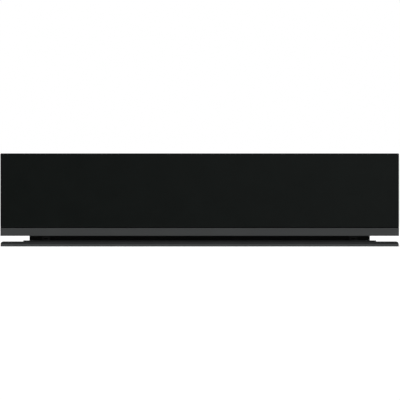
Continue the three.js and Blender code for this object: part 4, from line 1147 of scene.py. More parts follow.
def plate(name: str, low: Vector, high: Vector, rounding: float) -> Piece:
    """A flat plate with rounded edges.

    Args:
        name: The piece's name.
        low: Its lowest corner, in millimetres.
        high: Its highest corner, in millimetres.
        rounding: Radius of the edges, in millimetres.

    Returns:
        The plate.
    """
    shape = bmesh.new()
    bmesh.ops.create_cube(shape, size=1.0)
    place = Matrix.Translation((low + high) / 2 * MM)
    shape.transform(place @ Matrix.Diagonal((*((high - low) * MM), 1.0)))
    return with_round_edges(name, shape, list(shape.edges), rounding, 3)


# ----------------------------------------
# Sub-assemblies
# ----------------------------------------


class Side(Enum):
    """A side of the appliance, with the sign of its X."""

    LEFT = -1
    RIGHT = 1

    @property
    def label(self) -> str:
        """The side's name in the names of the solids."""
        return self.name.lower()

    def of(self, *stems: str) -> list[str]:
        """The names of this side's solids."""
        return [f"{stem}_{self.label}" for stem in stems]


class Facing(Enum):
    """The direction that a small piece faces."""

    FRONT = (0.0, -1.0, 0.0)
    REAR = (0.0, 1.0, 0.0)
    RIGHT = (1.0, 0.0, 0.0)
    DOWN = (0.0, 0.0, -1.0)


class Fastener(Enum):
    """Head radius, head height, recess width and recess depth in millimetres."""

    PAN_SCREW = (3.4, 1.5, 0.9, 0.9)
    SMALL_SCREW = (2.5, 1.1, 0.7, 0.7)
    RIVET = (3.0, 0.9, 0.1, 0.0)
    SPOT_WELD = (2.4, 0.12, 0.1, 0.0)


def set_at(facing: Facing, points: Sequence[Triple]) -> list[Place]:
    """Places that all face one way."""
    return [(point, facing.value) for point in points]


def either_side(places: Sequence[Place]) -> list[Place]:
    """The places and their mirror images about X = 0."""
    mirrored = [((-x, y, z), (-u, v, w)) for (x, y, z), (u, v, w) in places]
    return [*places, *mirrored]


def spaced(low: float, high: float, count: int) -> list[float]:
    """Evenly spaced numbers from one end to the other."""
    return [low + (high - low) * i / (count - 1) for i in range(count)]


def shifted(points: Profile, radius: float, height: float) -> Profile:
    """Points of a profile, moved outwards and up."""
    return [(radius + out, height + up) for out, up in points]


def over(node: str, height: float = 0.0) -> Matrix:
    """The place on a solid's middle line at a height in millimetres."""
    return Matrix.Translation(metres((*Box.of(node).centre.xy, height)))


class SubAssembly:
    """Pieces that are made and dressed together."""

    def build(self) -> None:
        """Makes and dresses the pieces."""
        raise NotImplementedError

    def settle(self, piece: Piece, body: str, finish: Finish, *nodes: str) -> None:
        """Dresses a piece and lets it ride on a body.

        Args:
            piece: The piece, in place.
            body: The body that it moves with.
            finish: Its finish.
            *nodes: The solids that it stands for.
        """
        if not piece.data.materials:
            piece.data.materials.append(finish.material())
        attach(piece, body)
        if nodes:
            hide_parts(*nodes)
        log.info("%s rides on %s in %s", piece.name, body, finish.name)

    def soften(self, finish: Finish, width: float, *nodes: str, steps: int = 3) -> None:
        """Replaces solids with copies that have rounded edges.

        Args:
            finish: Their finish.
            width: Reach of the rounding, in millimetres.
            *nodes: The solids' names.
            steps: Faces across the rounding.
        """
        for node in nodes:
            piece = softened(node, width, steps)
            piece.data.materials.clear()
            self.settle(piece, frame["nodes"][node]["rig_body"], finish, node)

    def keep(self, node: str, finish: Finish) -> None:
        """Leaves a solid in place and gives it its finish.

        Args:
            node: The solid's name.
            finish: Its finish.
        """
        solid = frame["nodes"][node]
        solid.data.materials.clear()
        solid.data.materials.append(finish.material())
        log.info("%s stays in %s", node, finish.name)

    def grow(
        self,
        name: str,
        body: str,
        tree: str,
        finish: Finish,
        sizes: Inputs,
        start: Optional[Mesh] = None,
        node: Optional[str] = None,
    ) -> None:
        """Grows a piece from a geometry tree and lets it ride on a body.

        Args:
            name: The piece's name.
            body: The body that it moves with.
            tree: The geometry tree's key.
            finish: Its finish.
            sizes: A value for each of the tree's named inputs.
            start: The points or path to start from, where the tree needs any.
            node: The solid that it stands for, where there is one.
        """
        if start is None:
            start = plain_mesh(name, [(0.0, 0.0, 0.0)])
        piece = grown(name, start, TREES[tree], sizes, finish)
        self.settle(piece, body, finish, *([node] if node else []))

    def fasten(
        self,
        name: str,
        body: str,
        kind: Fastener,
        places: Sequence[Place],
        finish: Finish = SCREW_STEEL,
    ) -> None:
        """Sets fastener heads on a body.

        Args:
            name: The piece's name.
            body: The body that the heads move with.
            kind: The kind of head.
            places: Where each head sits and which way it faces, in millimetres.
            finish: The finish of the heads.
        """
        points = plain_mesh(name, [place for place, _ in places])
        outward = points.attributes.new("outward", "FLOAT_VECTOR", "POINT")
        for item, (_, direction) in zip(outward.data, places):
            item.vector = direction
        labels = ("Head Radius", "Head Height", "Recess Width", "Recess Depth")
        sizes = dict(zip(labels, metres(kind.value)))
        counts = {"Sides": HEAD_SIDES, "Seed": len(places)}
        self.grow(name, body, "fastener", finish, {**sizes, **counts}, points)

    def turn(
        self,
        name: str,
        body: str,
        profile: Profile,
        matrix: Matrix,
        finish: Finish,
        node: Optional[str] = None,
        sides: int = 40,
        flutes: tuple[int, float, float, float] = (0, 0.0, 0.0, 0.0),
    ) -> None:
        """Makes a turned piece and lets it ride on a body.

        Args:
            name: The piece's name.
            body: The body that it moves with.
            profile: Its points, from the lower to the upper pole.
            matrix: Where the turned piece goes, in metres.
            finish: Its finish.
            node: The solid that it stands for, where there is one.
            sides: Faces around it.
            flutes: Their number, depth, and the heights they run between.
        """
        count, *lengths = flutes
        depth, low, high = metres(lengths)
        points = plain_mesh(
            name, [(radius, 0.0, height) for radius, height in profile], joined=True
        )
        sizes = {"Flutes": count, "Flute Depth": depth, "Flutes From": low, "Flutes To": high}
        piece = grown(name, points, TREES["turned"], {"Sides": sides, **sizes}, finish)
        piece.data.transform(matrix)
        self.settle(piece, body, finish, *([node] if node else []))


# Turned profiles: radius and height from an edge of the knob or lens, or from the gland's axis.
SKIRT_EDGE: Profile = [(-0.3, 0.0), (0.0, 0.3), (0.0, 1.5), (-0.3, 1.9), (-1.0, 2.2)]
GRIP_FOOT: Profile = [(0.25, 2.7), (0.1, 3.3), (0.08, 3.5)]
GRIP_RIM: Profile = [
    (0.0, -1.0), (-0.02, -0.9), (-0.2, -0.4), (-0.7, -0.05), (-1.1, 0.0), (-1.4, -0.08),
]
LENS_RING: Profile = [
    (0.35, 0.0), (1.5, 0.0), (1.4, 0.35), (1.0, 0.6), (0.55, 0.55), (0.35, 0.3), (0.35, 0.0),
]
GLAND_RING: Profile = [
    (4.3, -2.6), (4.3, -0.5), (4.0, -0.3), (3.5, -0.5), (3.3, -1.0), (3.3, -2.6), (4.3, -2.6),
]


@dataclass
class GlassFront(SubAssembly):
    """The glass, the strip and seam under it, and the steel behind them."""

    seal_half_width: float = 3.0
    seal_corner: float = 4.0
    seal_steps: int = 6  # faces round a corner
    seal_sides: int = 16
    screw_inset: float = 9.0
    screw_rise: float = 7.5  # the lower screws over the carrier's lower edge
    screw_drop: float = 13.0  # the upper screws under its upper edge
    edging_height: float = 0.45  # leaves 0.05 over the rail that it passes
    slot_width: float = 6.0
    slot_height: float = 1.5
    slot_rise: float = 1.95  # middle of the slot over the adjuster's lower end
    slot_depth: float = 2.0
    cam_sheet: float = 0.4
    cam_gap: float = 0.05

    def build(self) -> None:
        """Makes and dresses the pieces."""
        self.soften(BLACK_GLASS, 0.15, "front_glass")
        self.soften(GRAPHITE, 0.2, "front_strip")
        # The seam gasket is a real seal whose near-black colour is also painted shade of the seam.
        self.soften(RUBBER_WITH_PAINTED_SHADE, 0.12, "seam_gasket", steps=2)
        self.soften(BLACK_SHEET_WITH_RECESS_SHADE, 0.3, "front_carrier")
        self.bulkhead()
        self.adjusters()
        self.seal()
        self.screws()

    def bulkhead(self) -> None:
        """The dark sheet behind the recess, with a thin edging that closes its running gap; the
        colours of both are set darker as painted shade of the recess.
        """
        box = Box.of("drawer_bulkhead")
        sheet = plate("bulkhead_plate", box.low, box.high, 0.3)
        self.settle(sheet, "drawer", BLACK_SHEET_WITH_RECESS_SHADE, "drawer_bulkhead")
        under = box.low - Vector((0.0, 0.0, self.edging_height))
        edging = plate("bulkhead_edging", under, Vector((*box.high.xy, box.low.z)), 0.05)
        self.settle(edging, "drawer", RUBBER_WITH_PAINTED_SHADE)

    def adjusters(self) -> None:
        """The slotted adjusters, with the dark end of the cam at the bottom of each slot, its
        near-black colour painted shade of the slot.
        """
        gap, half = self.cam_gap, self.cam_sheet / 2
        reach = Vector((self.slot_width / 2 - gap, half, self.slot_height / 2 - gap))
        for side in Side:
            node = f"front_adjuster_{side.label}"
            self.soften(ADJUSTER, 0.2, node)
            box = Box.of(node)
            depth = self.slot_depth - gap - half
            centre = Vector((box.centre.x, box.low.y + depth, box.low.z + self.slot_rise))
            cam = plate(f"adjuster_cam_{side.label}", centre - reach, centre + reach, 0.1)
            self.settle(cam, "drawer", RUBBER_WITH_PAINTED_SHADE)

    def seal(self) -> None:
        """The lip seal on three sides of the carrier."""
        box, half = Box.of("front_seal"), self.seal_half_width
        left, right, top = box.low.x + half, box.high.x - half, box.high.z - half
        low, y = box.low.z, box.centre.y
        sizes = {
            "Radius": half * MM,
            "Corner Radius": self.seal_corner * MM,
            "Corner Steps": self.seal_steps,
            "Sides": self.seal_sides,
            "Flatten": (1.0, box.size.y / (2 * half), 1.0),
            "Centre": (0.0, y * MM, 0.0),
        }
        path = [(left, y, low), (left, y, top), (right, y, top), (right, y, low)]
        start = plain_mesh("seal", path, joined=True)
        self.grow("front_seal.lip", "drawer", "tube", RUBBER, sizes, start, "front_seal")

    def screws(self) -> None:
        """Screws through the carrier's rear, beside the bulkhead."""
        box = Box.of("front_carrier")
        x = box.high.x - self.screw_inset
        levels = (box.low.z + self.screw_rise, box.high.z - self.screw_drop)
        places = set_at(Facing.REAR, [(x, box.high.y, z) for z in levels])
        self.fasten("carrier_screws", "drawer", Fastener.PAN_SCREW, either_side(places))


@dataclass
class BaseTrim(SubAssembly):
    """The stepped trim on the shelf and the rail over it."""

    def build(self) -> None:
        """Makes and dresses the pieces."""
        self.soften(TRIM, 0.2, "base_trim")
        self.soften(DARK_TRIM, 0.2, "base_rail")


@dataclass
class DrawerBox(SubAssembly):
    """The double-skinned walls, the pan under them and what is fixed to them."""

    rivet_inset: float = 5.0
    screw_inset: float = 18.0
    screw_columns: tuple[float, float] = (70.0, 200.0)  # from the middle
    pan_sheet: float = 1.0
    weld_inset: float = 6.0
    weld_margin: float = 25.0
    weld_count: int = 9

    def build(self) -> None:
        """Makes and dresses the pieces."""
        self.soften(STAINLESS_X, 0.2, "inner_front", "drawer_rear_wall")
        self.soften(STAINLESS_Y, 0.2, "drawer_side_left", "drawer_side_right")
        self.soften(ZINC, 0.3, "floor_pan", "strike_plate")
        self.rivets()
        self.pan_fasteners()

    def rivets(self) -> None:
        """The rivets of the strike plate."""
        box = Box.of("strike_plate")
        places = set_at(Facing.REAR, [(box.high.x - self.rivet_inset, box.high.y, box.centre.z)])
        self.fasten("strike_rivets", "drawer", Fastener.RIVET, either_side(places))

    def pan_fasteners(self) -> None:
        """Screws under the pan, and the welds under its flanges."""
        box, inset, margin = Box.of("floor_pan"), self.screw_inset, self.weld_margin
        rows = (box.low.y + 2 * inset, box.high.y - inset)
        screws = set_at(Facing.DOWN, [(x, y, box.low.z) for x in self.screw_columns for y in rows])
        self.fasten("pan_screws", "drawer", Fastener.SMALL_SCREW, either_side(screws))
        x, z = box.high.x - self.weld_inset, box.high.z - self.pan_sheet
        along = spaced(box.low.y + margin, box.high.y - margin, self.weld_count)
        welds = set_at(Facing.DOWN, [(x, y, z) for y in along])
        self.fasten("pan_welds", "drawer", Fastener.SPOT_WELD, either_side(welds), ZINC)


@dataclass
class HeatedFloor(SubAssembly):
    """The glass plate with its mat and seal, and the heater under it."""

    nub_pitch: float = 12.0
    nub_radius: float = 2.3
    nub_height: float = 0.5
    mat_corner: float = 12.0
    mat_edge: float = 5.0  # border of the mat that bears no nubs
    element_runs: int = 6
    element_sides: int = 20
    bend_steps: int = 14
    bend_share: float = 0.999  # of half the pitch, so that bends in a row share no point

    def build(self) -> None:
        """Makes and dresses the pieces."""
        self.soften(PLATE_GLASS, 0.15, "hot_plate")
        self.soften(RUBBER, 0.5, "plate_seal")
        self.soften(ZINC, 0.2, "plate_frame")
        self.soften(RUBBER, 0.4, "anti_slip_mat")
        self.nubs()
        self.element()
        self.keep("insulation_board", FIBRE)
        self.soften(ALUMINIUM, 0.2, "heat_reflector")
        self.soften(ALUMINIUM, 0.3, "heat_spreader")
        self.soften(WHITE_PLASTIC, 0.3, "thermostat", "thermal_cutout")

    def nubs(self) -> None:
        """The rows of nubs that are moulded on the mat."""
        box = Box.of("anti_slip_mat")
        sizes = {
            "Length X": (box.size.x - 2 * self.mat_edge) * MM,
            "Length Y": (box.size.y - 2 * self.mat_edge) * MM,
            "Corner Radius": self.mat_corner * MM,
            "Pitch": self.nub_pitch * MM,
            "Nub Radius": self.nub_radius * MM,
            "Nub Height": self.nub_height * MM,
            "Centre": metres((*box.centre.xy, box.high.z)),
        }
        self.grow("mat_nubs", "drawer", "nubs", RUBBER, sizes)

    def element(self) -> None:
        """The tubular element, bent to and fro under the plate."""
        box = Box.of("heating_element")
        radius = box.size.z / 2
        reach = box.high.x - radius
        rows = spaced(box.low.y + radius, box.high.y - radius, self.element_runs)
        path = []
        for run, y in enumerate(rows):
            ends = (-reach, reach) if run % 2 == 0 else (reach, -reach)
            path += [(x, y, box.centre.z) for x in ends]
        sizes = {
            "Radius": radius * MM,
            "Corner Radius": (rows[1] - rows[0]) / 2 * self.bend_share * MM,
            "Corner Steps": self.bend_steps,
            "Sides": self.element_sides,
            "Flatten": (1.0, 1.0, 1.0),
            "Centre": (0.0, 0.0, 0.0),
        }
        start = plain_mesh("element", path, joined=True)
        self.grow("heating_element.tube", "drawer", "tube", SHEATH, sizes, start, "heating_element")


@dataclass
class Controls(SubAssembly):
    """The fascia in the drawer's rim with its knob, dial and pilot light."""

    knob_radius: float = 11.5
    grip_radius: float = 9.9
    shaft_radius: float = 3.0
    shaft_length: float = 10.0
    dish_depth: float = 0.4
    dish_inset: float = 1.8
    flutes: int = 18
    flute_sides: int = 8  # faces across each flute
    flute_depth: float = 0.9
    flute_rise: float = 3.4  # the flutes' lower end over the skirt's lower face
    flute_drop: float = 0.95  # their upper end under the rim
    dial_steps: int = 5
    dial_step: float = 50.0  # degrees between two settings
    numeral_height: float = 3.4
    numeral_circle: float = 5.7
    dot_circle: float = 6.9
    dot_radius: float = 0.35
    print_thickness: float = 0.12
    well_depth: float = 12.7  # from the knob's rim to the floor that bears the mark
    mark_gap: float = 0.9
    mark_length: float = 3.4
    mark_width: float = 3.4
    lens_rim: float = 0.8
    dome_steps: int = 8
    ring_rise: float = 0.5

    def build(self) -> None:
        """Makes and dresses the pieces."""
        self.soften(BLACK_PLASTIC, 0.2, "control_fascia")
        self.keep("rotary_switch", WHITE_PLASTIC)
        box = Box.of("control_knob")
        self.knob(box.low.z, box.high.z)
        self.numerals(box.high.z - self.dish_depth)
        self.dots(box.high.z - self.dish_depth)
        self.index_mark(box.centre, box.high.z - self.well_depth)
        self.pilot_light()

    def knob(self, bottom: float, top: float) -> None:
        """The knob: shaft, skirt, fluted grip and a slightly dished top.

        Args:
            bottom: Height of the shaft's lower end.
            top: Height of the grip's rim.
        """
        skirt, dish = bottom + self.shaft_length, top - self.dish_depth
        profile = [
            (0.0, bottom),
            (self.shaft_radius, bottom),
            (self.shaft_radius, skirt),
            *shifted(SKIRT_EDGE, self.knob_radius, skirt),
            *shifted(GRIP_FOOT, self.grip_radius, skirt),
            *shifted(GRIP_RIM, self.grip_radius, top),
            (self.grip_radius - self.dish_inset, dish),
            (0.0, dish),
        ]
        flutes = (self.flutes, self.flute_depth, skirt + self.flute_rise, top - self.flute_drop)
        node, sides = "control_knob", self.flutes * self.flute_sides
        name = "control_knob.fluted"
        self.turn(name, "knob", profile, over(node), BLACK_PLASTIC, node, sides, flutes)

    def numerals(self, level: float) -> None:
        """The settings printed on the knob's top.

        Args:
            level: Height of the face that carries the print.
        """
        merged = bmesh.new()
        out = Matrix.Translation(metres((-self.numeral_circle, 0.0, 0.0)))
        for step in range(self.dial_steps):
            text = bpy.data.curves.new(f"numeral_{step}", "FONT")
            text.body = str(step)
            text.align_x = "CENTER"
            text.align_y = "CENTER"
            text.size = self.numeral_height * MM
            text.extrude = self.print_thickness / 2 * MM
            text.resolution_u = 4
            mesh = flattened(bpy.data.objects.new("numeral", text))
            turn = Matrix.Rotation(math.radians(self.dial_step * step), 4, "Z")
            mesh.transform(over("control_knob", level) @ turn @ out)
            merged.from_mesh(mesh)
        self.settle(new_object("dial_numerals", drawn_mesh("dial_numerals", merged)), "knob", PRINT)

    def dots(self, level: float) -> None:
        """A dot between each two of the settings.

        Args:
            level: Height of the face that carries the print.
        """
        sizes = {
            "Count": self.dial_steps - 1,
            "Start Angle": math.pi + math.radians(self.dial_step / 2),
            "Step Angle": math.radians(self.dial_step),
            "Arc Radius": self.dot_circle * MM,
            "Dot Radius": self.dot_radius * MM,
            "Thickness": self.print_thickness * MM,
            "Centre": metres((*Box.of("control_knob").centre.xy, level)),
        }
        self.grow("dial_dots", "knob", "dots", PRINT, sizes)

    def index_mark(self, centre: Vector, level: float) -> None:
        """The mark that the numerals are read against.

        Args:
            centre: The middle of the knob.
            level: Height of the well's floor.
        """
        tip = centre.x - self.knob_radius - self.mark_gap
        tail, y, half = tip - self.mark_length, centre.y, self.mark_width / 2
        shape = bmesh.new()
        corners = [(tip, y), (tail, y + half), (tail, y - half)]
        face = shape.faces.new([shape.verts.new(metres((a, b, level))) for a, b in corners])
        raised = bmesh.ops.extrude_face_region(shape, geom=[face])
        lifted = [v for v in raised["geom"] if isinstance(v, bmesh.types.BMVert)]
        bmesh.ops.translate(shape, verts=lifted, vec=(0.0, 0.0, self.print_thickness * MM))
        bmesh.ops.recalc_face_normals(shape, faces=shape.faces)
        self.settle(new_object("index_mark", drawn_mesh("index_mark", shape)), "drawer", PRINT)

    def pilot_light(self) -> None:
        """The domed lens and the bright ring round it."""
        box, place = Box.of("indicator_lens"), over("indicator_lens")
        radius, rim = box.size.x / 2, box.low.z + self.lens_rim
        dome = box.high.z - rim
        quarter = spaced(0.0, math.pi / 2, self.dome_steps + 1)[:-1]
        arc = [(radius * math.cos(a), rim + dome * math.sin(a)) for a in quarter]
        lens = [(0.0, box.low.z), (radius, box.low.z), *arc, (0.0, box.high.z)]
        self.turn("indicator_lens.dome", "drawer", lens, place, AMBER, "indicator_lens")
        ring = shifted(LENS_RING, radius, box.low.z + self.ring_rise)
        self.turn("lens_ring", "drawer", ring, place, BALL_STEEL, sides=48)


@dataclass(frozen=True)
class Cage:
    """Where one of a runner's ball cages sits."""

    place: str
    ball_offset: float  # ball centres from the side panel
    row: float  # ball centres above and below the runner's centre line
    strip_offset: float  # the strip's outer face from the side panel
    margin: float  # how far the strip reaches past the ball centres


CAGES = (Cage("outer", 4.0, 18.5, 1.6, 0.5), Cage("inner", 9.57, 14.6, 6.52, 0.25))


@dataclass
class Runner(SubAssembly):
    """One ball-bearing runner: three members, two cages and the drawer's bracket."""

    side: Side
    ball_radius: float = 2.5
    balls_per_row: int = 8
    cage_sheet: float = 0.8
    ring_wire: float = 0.2
    member_sheet: float = 1.2
    screw_margin: float = 30.0
    screw_count: int = 5

    def build(self) -> None:
        """Makes and dresses the pieces."""
        members = self.side.of("runner_outer", "runner_middle", "runner_inner")
        self.soften(RUNNER_STEEL, 0.2, *members)
        self.soften(ZINC, 0.3, f"runner_bracket_{self.side.label}")
        outer = Box.of(members[0])
        wall = max(abs(outer.low.x), abs(outer.high.x))
        for cage in CAGES:
            self.cage(cage, wall, outer.centre.z)
        self.member_screws(Box.of(members[-1]), outer.centre.z)

    def cage(self, cage: Cage, wall: float, height: float) -> None:
        """A strip of sheet with two rows of balls in it.

        Args:
            cage: Where it sits.
            wall: The side panel from the middle of the appliance.
            height: The runner's centre line.
        """
        sign, node = self.side.value, f"ball_cage_{cage.place}_{self.side.label}"
        body = f"{cage.place}_cage_{self.side.label}"
        box = Box.of(node)
        middle, half = box.centre.y, box.size.y / 2
        pitch = 2 * (half - 2 * self.ball_radius) / (self.balls_per_row - 1)
        x = sign * (wall - cage.strip_offset - self.cage_sheet / 2)
        centre = Vector((x, middle, height))
        reach = Vector((self.cage_sheet / 2, half, cage.row + cage.margin))
        strip = plate(node + ".strip", centre - reach, centre + reach, 0.2)
        self.settle(strip, body, RUNNER_STEEL, node)
        sizes = {
            "Count": self.balls_per_row,
            "Pitch": pitch * MM,
            "Row Offset": cage.row * MM,
            "Ball Radius": self.ball_radius * MM,
            "Ring Offset": sign * (cage.ball_offset - cage.strip_offset - self.cage_sheet) * MM,
            "Ring Wire": self.ring_wire * MM,
            "Centre": metres((sign * (wall - cage.ball_offset), middle, height)),
        }
        self.grow(node + ".balls", body, "balls", BALL_STEEL, sizes)

    def member_screws(self, inner: Box, height: float) -> None:
        """Screws through the inner member into the bracket.

        Args:
            inner: The box of the inner member.
            height: The runner's centre line.
        """
        sign = float(self.side.value)
        web = sign * (min(abs(inner.low.x), abs(inner.high.x)) + self.member_sheet)
        margin = self.screw_margin
        along = spaced(inner.low.y + margin, inner.high.y - margin, self.screw_count)
        places = [((web, y, height), (sign, 0.0, 0.0)) for y in along]
        self.fasten(f"member_screws_{self.side.label}", "drawer", Fastener.SMALL_SCREW, places)


@dataclass
class Housing(SubAssembly):
    """The sheet-steel box that stays in the cabinet."""

    sheet: float = 1.2
    row_count: int = 4  # screws or rivets in a row along a side
    edge_rise: float = 6.0  # screws over the lower edge of their sheet
    cover_margins: tuple[float, float] = (45.0, 35.0)  # from its front and its rear
    cover_columns: tuple[float, float] = (85.0, 245.0)  # from the middle
    panel_inset: float = 11.0
    panel_levels: tuple[float, float, float] = (30.0, 72.0, 112.0)
    panel_columns: tuple[float, float] = (60.0, 190.0)
    flange_inset: float = 8.0
    flange_reach: float = 26.0  # above and below the middle
    rivet_level: float = 75.0
    rivet_margin: float = 60.0
    weld_inset: float = 9.0
    weld_margins: tuple[float, float] = (40.0, 20.0)
    weld_count: int = 8

    def build(self) -> None:
        """Makes and dresses the pieces."""
        self.soften(ZINC, 0.25, "base_pan", "top_cover", "rear_panel")
        for side in Side:
            self.soften(ZINC, 0.25, *side.of("side_panel", "mount_flange"))
            self.soften(RUBBER, 0.4, *side.of("bumper"))
            self.soften(BLACK_PLASTIC, 0.4, *side.of("support_pad"))
            self.soften(RUBBER, 0.4, *side.of("foot"))
        self.cover_screws()
        self.panel_screws()
        self.side_fasteners()
        self.welds()

    def cover_screws(self) -> None:
        """Screws through the cover's turned-down edges."""
        box = Box.of("top_cover")
        z, (front, rear) = box.low.z + self.edge_rise, self.cover_margins
        along = spaced(box.low.y + front, box.high.y - rear, self.row_count)
        places = set_at(Facing.RIGHT, [(box.high.x, y, z) for y in along])
        places += set_at(Facing.REAR, [(x, box.high.y, z) for x in self.cover_columns])
        self.fasten("cover_screws", "housing", Fastener.PAN_SCREW, either_side(places))

    def panel_screws(self) -> None:
        """Screws at the sides and the lower edge of the rear panel."""
        box = Box.of("rear_panel")
        x, low = box.high.x - self.panel_inset, box.low.z + self.edge_rise
        points = [(x, box.high.y, z) for z in self.panel_levels]
        points += [(column, box.high.y, low) for column in self.panel_columns]
        places = set_at(Facing.REAR, points)
        self.fasten("panel_screws", "housing", Fastener.PAN_SCREW, either_side(places))

    def side_fasteners(self) -> None:
        """Screws in the fixing flanges, and the rivets that hold the runners."""
        box = Box.of("mount_flange_right")
        levels = (box.centre.z - self.flange_reach, box.centre.z + self.flange_reach)
        x, y = box.low.x + self.sheet, box.high.y - self.flange_inset
        screws = set_at(Facing.RIGHT, [(x, y, z) for z in levels])
        self.fasten("flange_screws", "housing", Fastener.SMALL_SCREW, either_side(screws))
        box = Box.of("side_panel_right")
        margin = self.rivet_margin
        along = spaced(box.low.y + margin, box.high.y - margin, self.row_count)
        rivets = set_at(Facing.RIGHT, [(box.high.x, y, self.rivet_level) for y in along])
        self.fasten("runner_rivets", "housing", Fastener.RIVET, either_side(rivets))

    def welds(self) -> None:
        """Spot welds under the pan's shoulders."""
        box, (front, rear) = Box.of("base_pan"), self.weld_margins
        x, z = box.high.x - self.weld_inset, box.high.z - self.sheet
        along = spaced(box.low.y + front, box.high.y - rear, self.weld_count)
        places = set_at(Facing.DOWN, [(x, y, z) for y in along])
        self.fasten("shoulder_welds", "housing", Fastener.SPOT_WELD, either_side(places))


@dataclass
class RearFittings(SubAssembly):
    """The mains inlet, the terminals and the latch."""

    latch_inset: float = 6.0
    latch_step: float = 3.0  # the screws' ledge in front of the latch's rear
    earth: tuple[float, float] = (236.0, 62.0)  # across and up, on the rear panel

    def build(self) -> None:
        """Makes and dresses the pieces."""
        self.soften(BLACK_PLASTIC, 0.5, "cable_gland")
        self.soften(WHITE_PLASTIC, 0.4, "terminal_block")
        self.soften(BLACK_PLASTIC, 0.4, "terminal_cover", "latch_body")
        self.soften(WHITE_PLASTIC, 0.3, "latch_plunger")
        self.gland_seal()
        self.small_screws()

    def gland_seal(self) -> None:
        """The rubber ring inside the gland, which grips the lead."""
        box = Box.of("cable_gland")
        place = Matrix.Translation(metres((box.centre.x, box.high.y, box.centre.z)))
        place = place @ Matrix.Rotation(-math.pi / 2, 4, "X")
        self.turn("gland_seal", "housing", GLAND_RING, place, RUBBER)

    def small_screws(self) -> None:
        """Screws of the terminal cover, the latch and the earth point."""
        box = Box.of("terminal_cover")
        places = set_at(Facing.FRONT, [(box.centre.x, box.low.y, box.centre.z)])
        box = Box.of("latch_body")
        ledge = (box.high.x - self.latch_inset, box.high.y - self.latch_step, box.centre.z)
        places += either_side(set_at(Facing.FRONT, [ledge]))
        self.fasten("fitting_screws", "housing", Fastener.SMALL_SCREW, places)
        x, z = self.earth
        earth = set_at(Facing.REAR, [(x, Box.of("rear_panel").high.y, z)])
        self.fasten("earth_screw", "housing", Fastener.PAN_SCREW, earth)


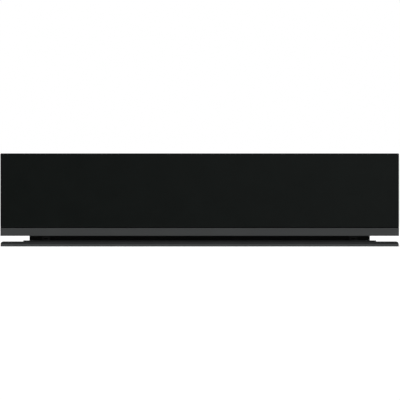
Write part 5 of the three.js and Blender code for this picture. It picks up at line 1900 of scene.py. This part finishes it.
@dataclass
class Studio:
    """Floor, world, lights and camera, none of which is part of the appliance, in metres."""

    distance: float = 9.0  # from the camera to the face of the glass
    frame_width: float = 0.5969  # how much of the front the frame spans
    eye_height: float = 0.0694
    eye_side: float = 0.0005
    ambient: float = 0.78
    floor_reach: float = 30.0
    floor_grey: float = 0.6
    floor_glow: float = 0.54
    floor_gleam: float = 0.3  # how bright the floor looks in the front, close to it
    curtain_reach: float = 4.5
    curtain_top: float = 4.0
    curtain_gap: float = 0.6  # behind the camera
    curtain_level: float = 0.06  # its brightness in the middle
    curtain_tilt: float = 0.075  # how much brighter it is a metre to the right
    curtain_least: float = 0.01
    fade_from: float = 1.2  # where the curtain starts to pale, aside and above
    gleam_reach: float = 1.3  # how far the floor's gleam reaches before the front

    def build(self) -> None:
        """Makes the surroundings."""
        scene = bpy.context.scene
        scene.view_settings.view_transform = "Standard"
        self.camera(scene)
        self.world(scene)
        self.floor()
        self.curtain()
        self.lamps()

    def camera(self, scene: bpy.types.Scene) -> None:
        """The camera, level with the middle of the front and far away.

        Args:
            scene: The scene that it is for.
        """
        data = bpy.data.cameras.new("photo_camera")
        data.sensor_width = 36.0
        data.lens = data.sensor_width * self.distance / self.frame_width
        data.clip_end = 200.0
        eye = bpy.data.objects.new("photo_camera", data)
        eye.location = (self.eye_side, CAD_BOX[0][1] - self.distance, self.eye_height)
        eye.rotation_euler = (math.pi / 2, 0.0, 0.0)
        scene.collection.objects.link(eye)
        scene.camera = eye

    @staticmethod
    def seen(graph: Graph) -> Socket:
        """Tells the rays that see a surface from those that light it.

        Args:
            graph: The graph of a material or world.

        Returns:
            1 for camera, glossy and transmission rays, and 0 for the rest.
        """
        path = graph.node("ShaderNodeLightPath").outputs
        first = graph.calc("MAXIMUM", path["Is Camera Ray"], path["Is Glossy Ray"])
        return graph.calc("MAXIMUM", first, path["Is Transmission Ray"])

    @staticmethod
    def sheet(
        name: str, corners: list[Triple], faces: list[tuple[int, ...]]
    ) -> tuple[Piece, Graph]:
        """A sheet with an empty material.

        Args:
            name: Its name.
            corners: Its corners, in metres.
            faces: The numbers of each face's corners.

        Returns:
            The sheet and the graph of its material.
        """
        mesh = bpy.data.meshes.new(name)
        mesh.from_pydata(corners, [], faces)
        mesh.materials.append(bpy.data.materials.new(name))
        return new_object(name, mesh), emptied(mesh.materials[0])

    def world(self, scene: bpy.types.Scene) -> None:
        """White to the eye and in reflections, and a softer ambient light.

        Args:
            scene: The scene that it is for.
        """
        scene.world = bpy.data.worlds.new("studio")
        graph = emptied(scene.world)
        light = graph.mix(self.seen(graph), (self.ambient,) * 3, (1.0, 1.0, 1.0))
        back = graph.socket("ShaderNodeBackground", {"Color": light, "Strength": 1.0})
        graph.node("ShaderNodeOutputWorld", {"Surface": back})

    def floor(self) -> None:
        """A wide pale floor that keeps the shadow and shows as white."""
        signs = ((-1, -1), (1, -1), (1, 1), (-1, 1))
        corners = [(x * self.floor_reach, y * self.floor_reach, 0.0) for x, y in signs]
        sheet, graph = self.sheet("studio_floor", corners, [(0, 1, 2, 3)])
        grey = self.floor_grey
        pale = {
            "Base Color": (grey, grey, grey, 1.0),
            "Roughness": 0.9,
            "Specular IOR Level": 0.0,
            "Emission Color": (1.0, 1.0, 1.0, 1.0),
            "Emission Strength": graph.times(self.seen(graph), self.floor_glow),
        }
        shader = graph.socket("ShaderNodeBsdfPrincipled", pale)
        clear = graph.socket("ShaderNodeBsdfTransparent")
        under = graph.node("ShaderNodeNewGeometry").outputs["Backfacing"]
        both = graph.socket("ShaderNodeMixShader", {0: under, 1: shader, 2: clear})
        graph.node("ShaderNodeOutputMaterial", {"Surface": both})

    def curtain(self) -> None:
        """A dark curtain behind the camera, which only reflections show."""
        half, top = self.curtain_reach, self.curtain_top
        y = CAD_BOX[0][1] - self.distance - self.curtain_gap
        near = CAD_BOX[0][1] - MM
        line = [(near, MM), (y, MM), (y, top)]
        corners = [(x, a, b) for a, b in line for x in (-half, half)]
        sheet, graph = self.sheet("studio_curtain", corners, [(0, 1, 3, 2), (2, 3, 5, 4)])
        across, along, up = graph.split(graph.place)
        slope = graph.calc("MULTIPLY_ADD", across, self.curtain_tilt, self.curtain_level)
        aside = graph.remap(graph.calc("ABSOLUTE", across), self.fade_from, half)
        above = graph.remap(up, self.fade_from, top)
        close = graph.remap(along, near - self.gleam_reach, near, 0.0, self.floor_gleam)
        level = graph.calc("MAXIMUM", slope, self.curtain_least)
        for other in (close, aside, above):
            level = graph.calc("MAXIMUM", level, other)
        glow = graph.socket("ShaderNodeEmission", {"Strength": level})
        graph.node("ShaderNodeOutputMaterial", {"Surface": glow})
        sheet.visible_camera = False
        sheet.visible_diffuse = False
        sheet.visible_shadow = False
        sheet.visible_transmission = False

    def lamps(self) -> None:
        """Three wide soft lamps."""
        for name, place, size, power in (
            ("key", (-2.6, -3.4, 3.2), 2.4, 62.0),
            ("fill", (3.2, -3.0, 2.0), 2.6, 42.0),
            ("back", (-1.5, 4.0, 2.5), 2.6, 45.0),
        ):
            data = bpy.data.lights.new(name, "AREA")
            data.shape = "SQUARE"
            data.size = size
            data.energy = power
            lamp = bpy.data.objects.new(name, data)
            lamp.location = place
            lamp.rotation_euler = (-Vector(place)).to_track_quat("-Z", "Y").to_euler()
            lamp.visible_glossy = False
            bpy.context.scene.collection.objects.link(lamp)


def main() -> None:
    """Builds the surroundings and the sub-assemblies in order, and reports each piece."""
    logging.basicConfig(level=logging.INFO, format="%(name)s: %(message)s")
    Studio().build()
    TREES.update(
        fastener=fastener_tree(),
        nubs=nub_tree(),
        balls=ball_tree(),
        turned=turned_tree(),
        tube=tube_tree(),
        dots=dot_tree(),
    )
    parts: list[SubAssembly] = [
        GlassFront(),
        BaseTrim(),
        DrawerBox(),
        HeatedFloor(),
        Controls(),
        Runner(Side.LEFT),
        Runner(Side.RIGHT),
        Housing(),
        RearFittings(),
    ]
    for part in parts:
        part.build()
    for tree in TREES.values():
        bpy.data.node_groups.remove(tree)


if __name__ == "__main__":
    main()
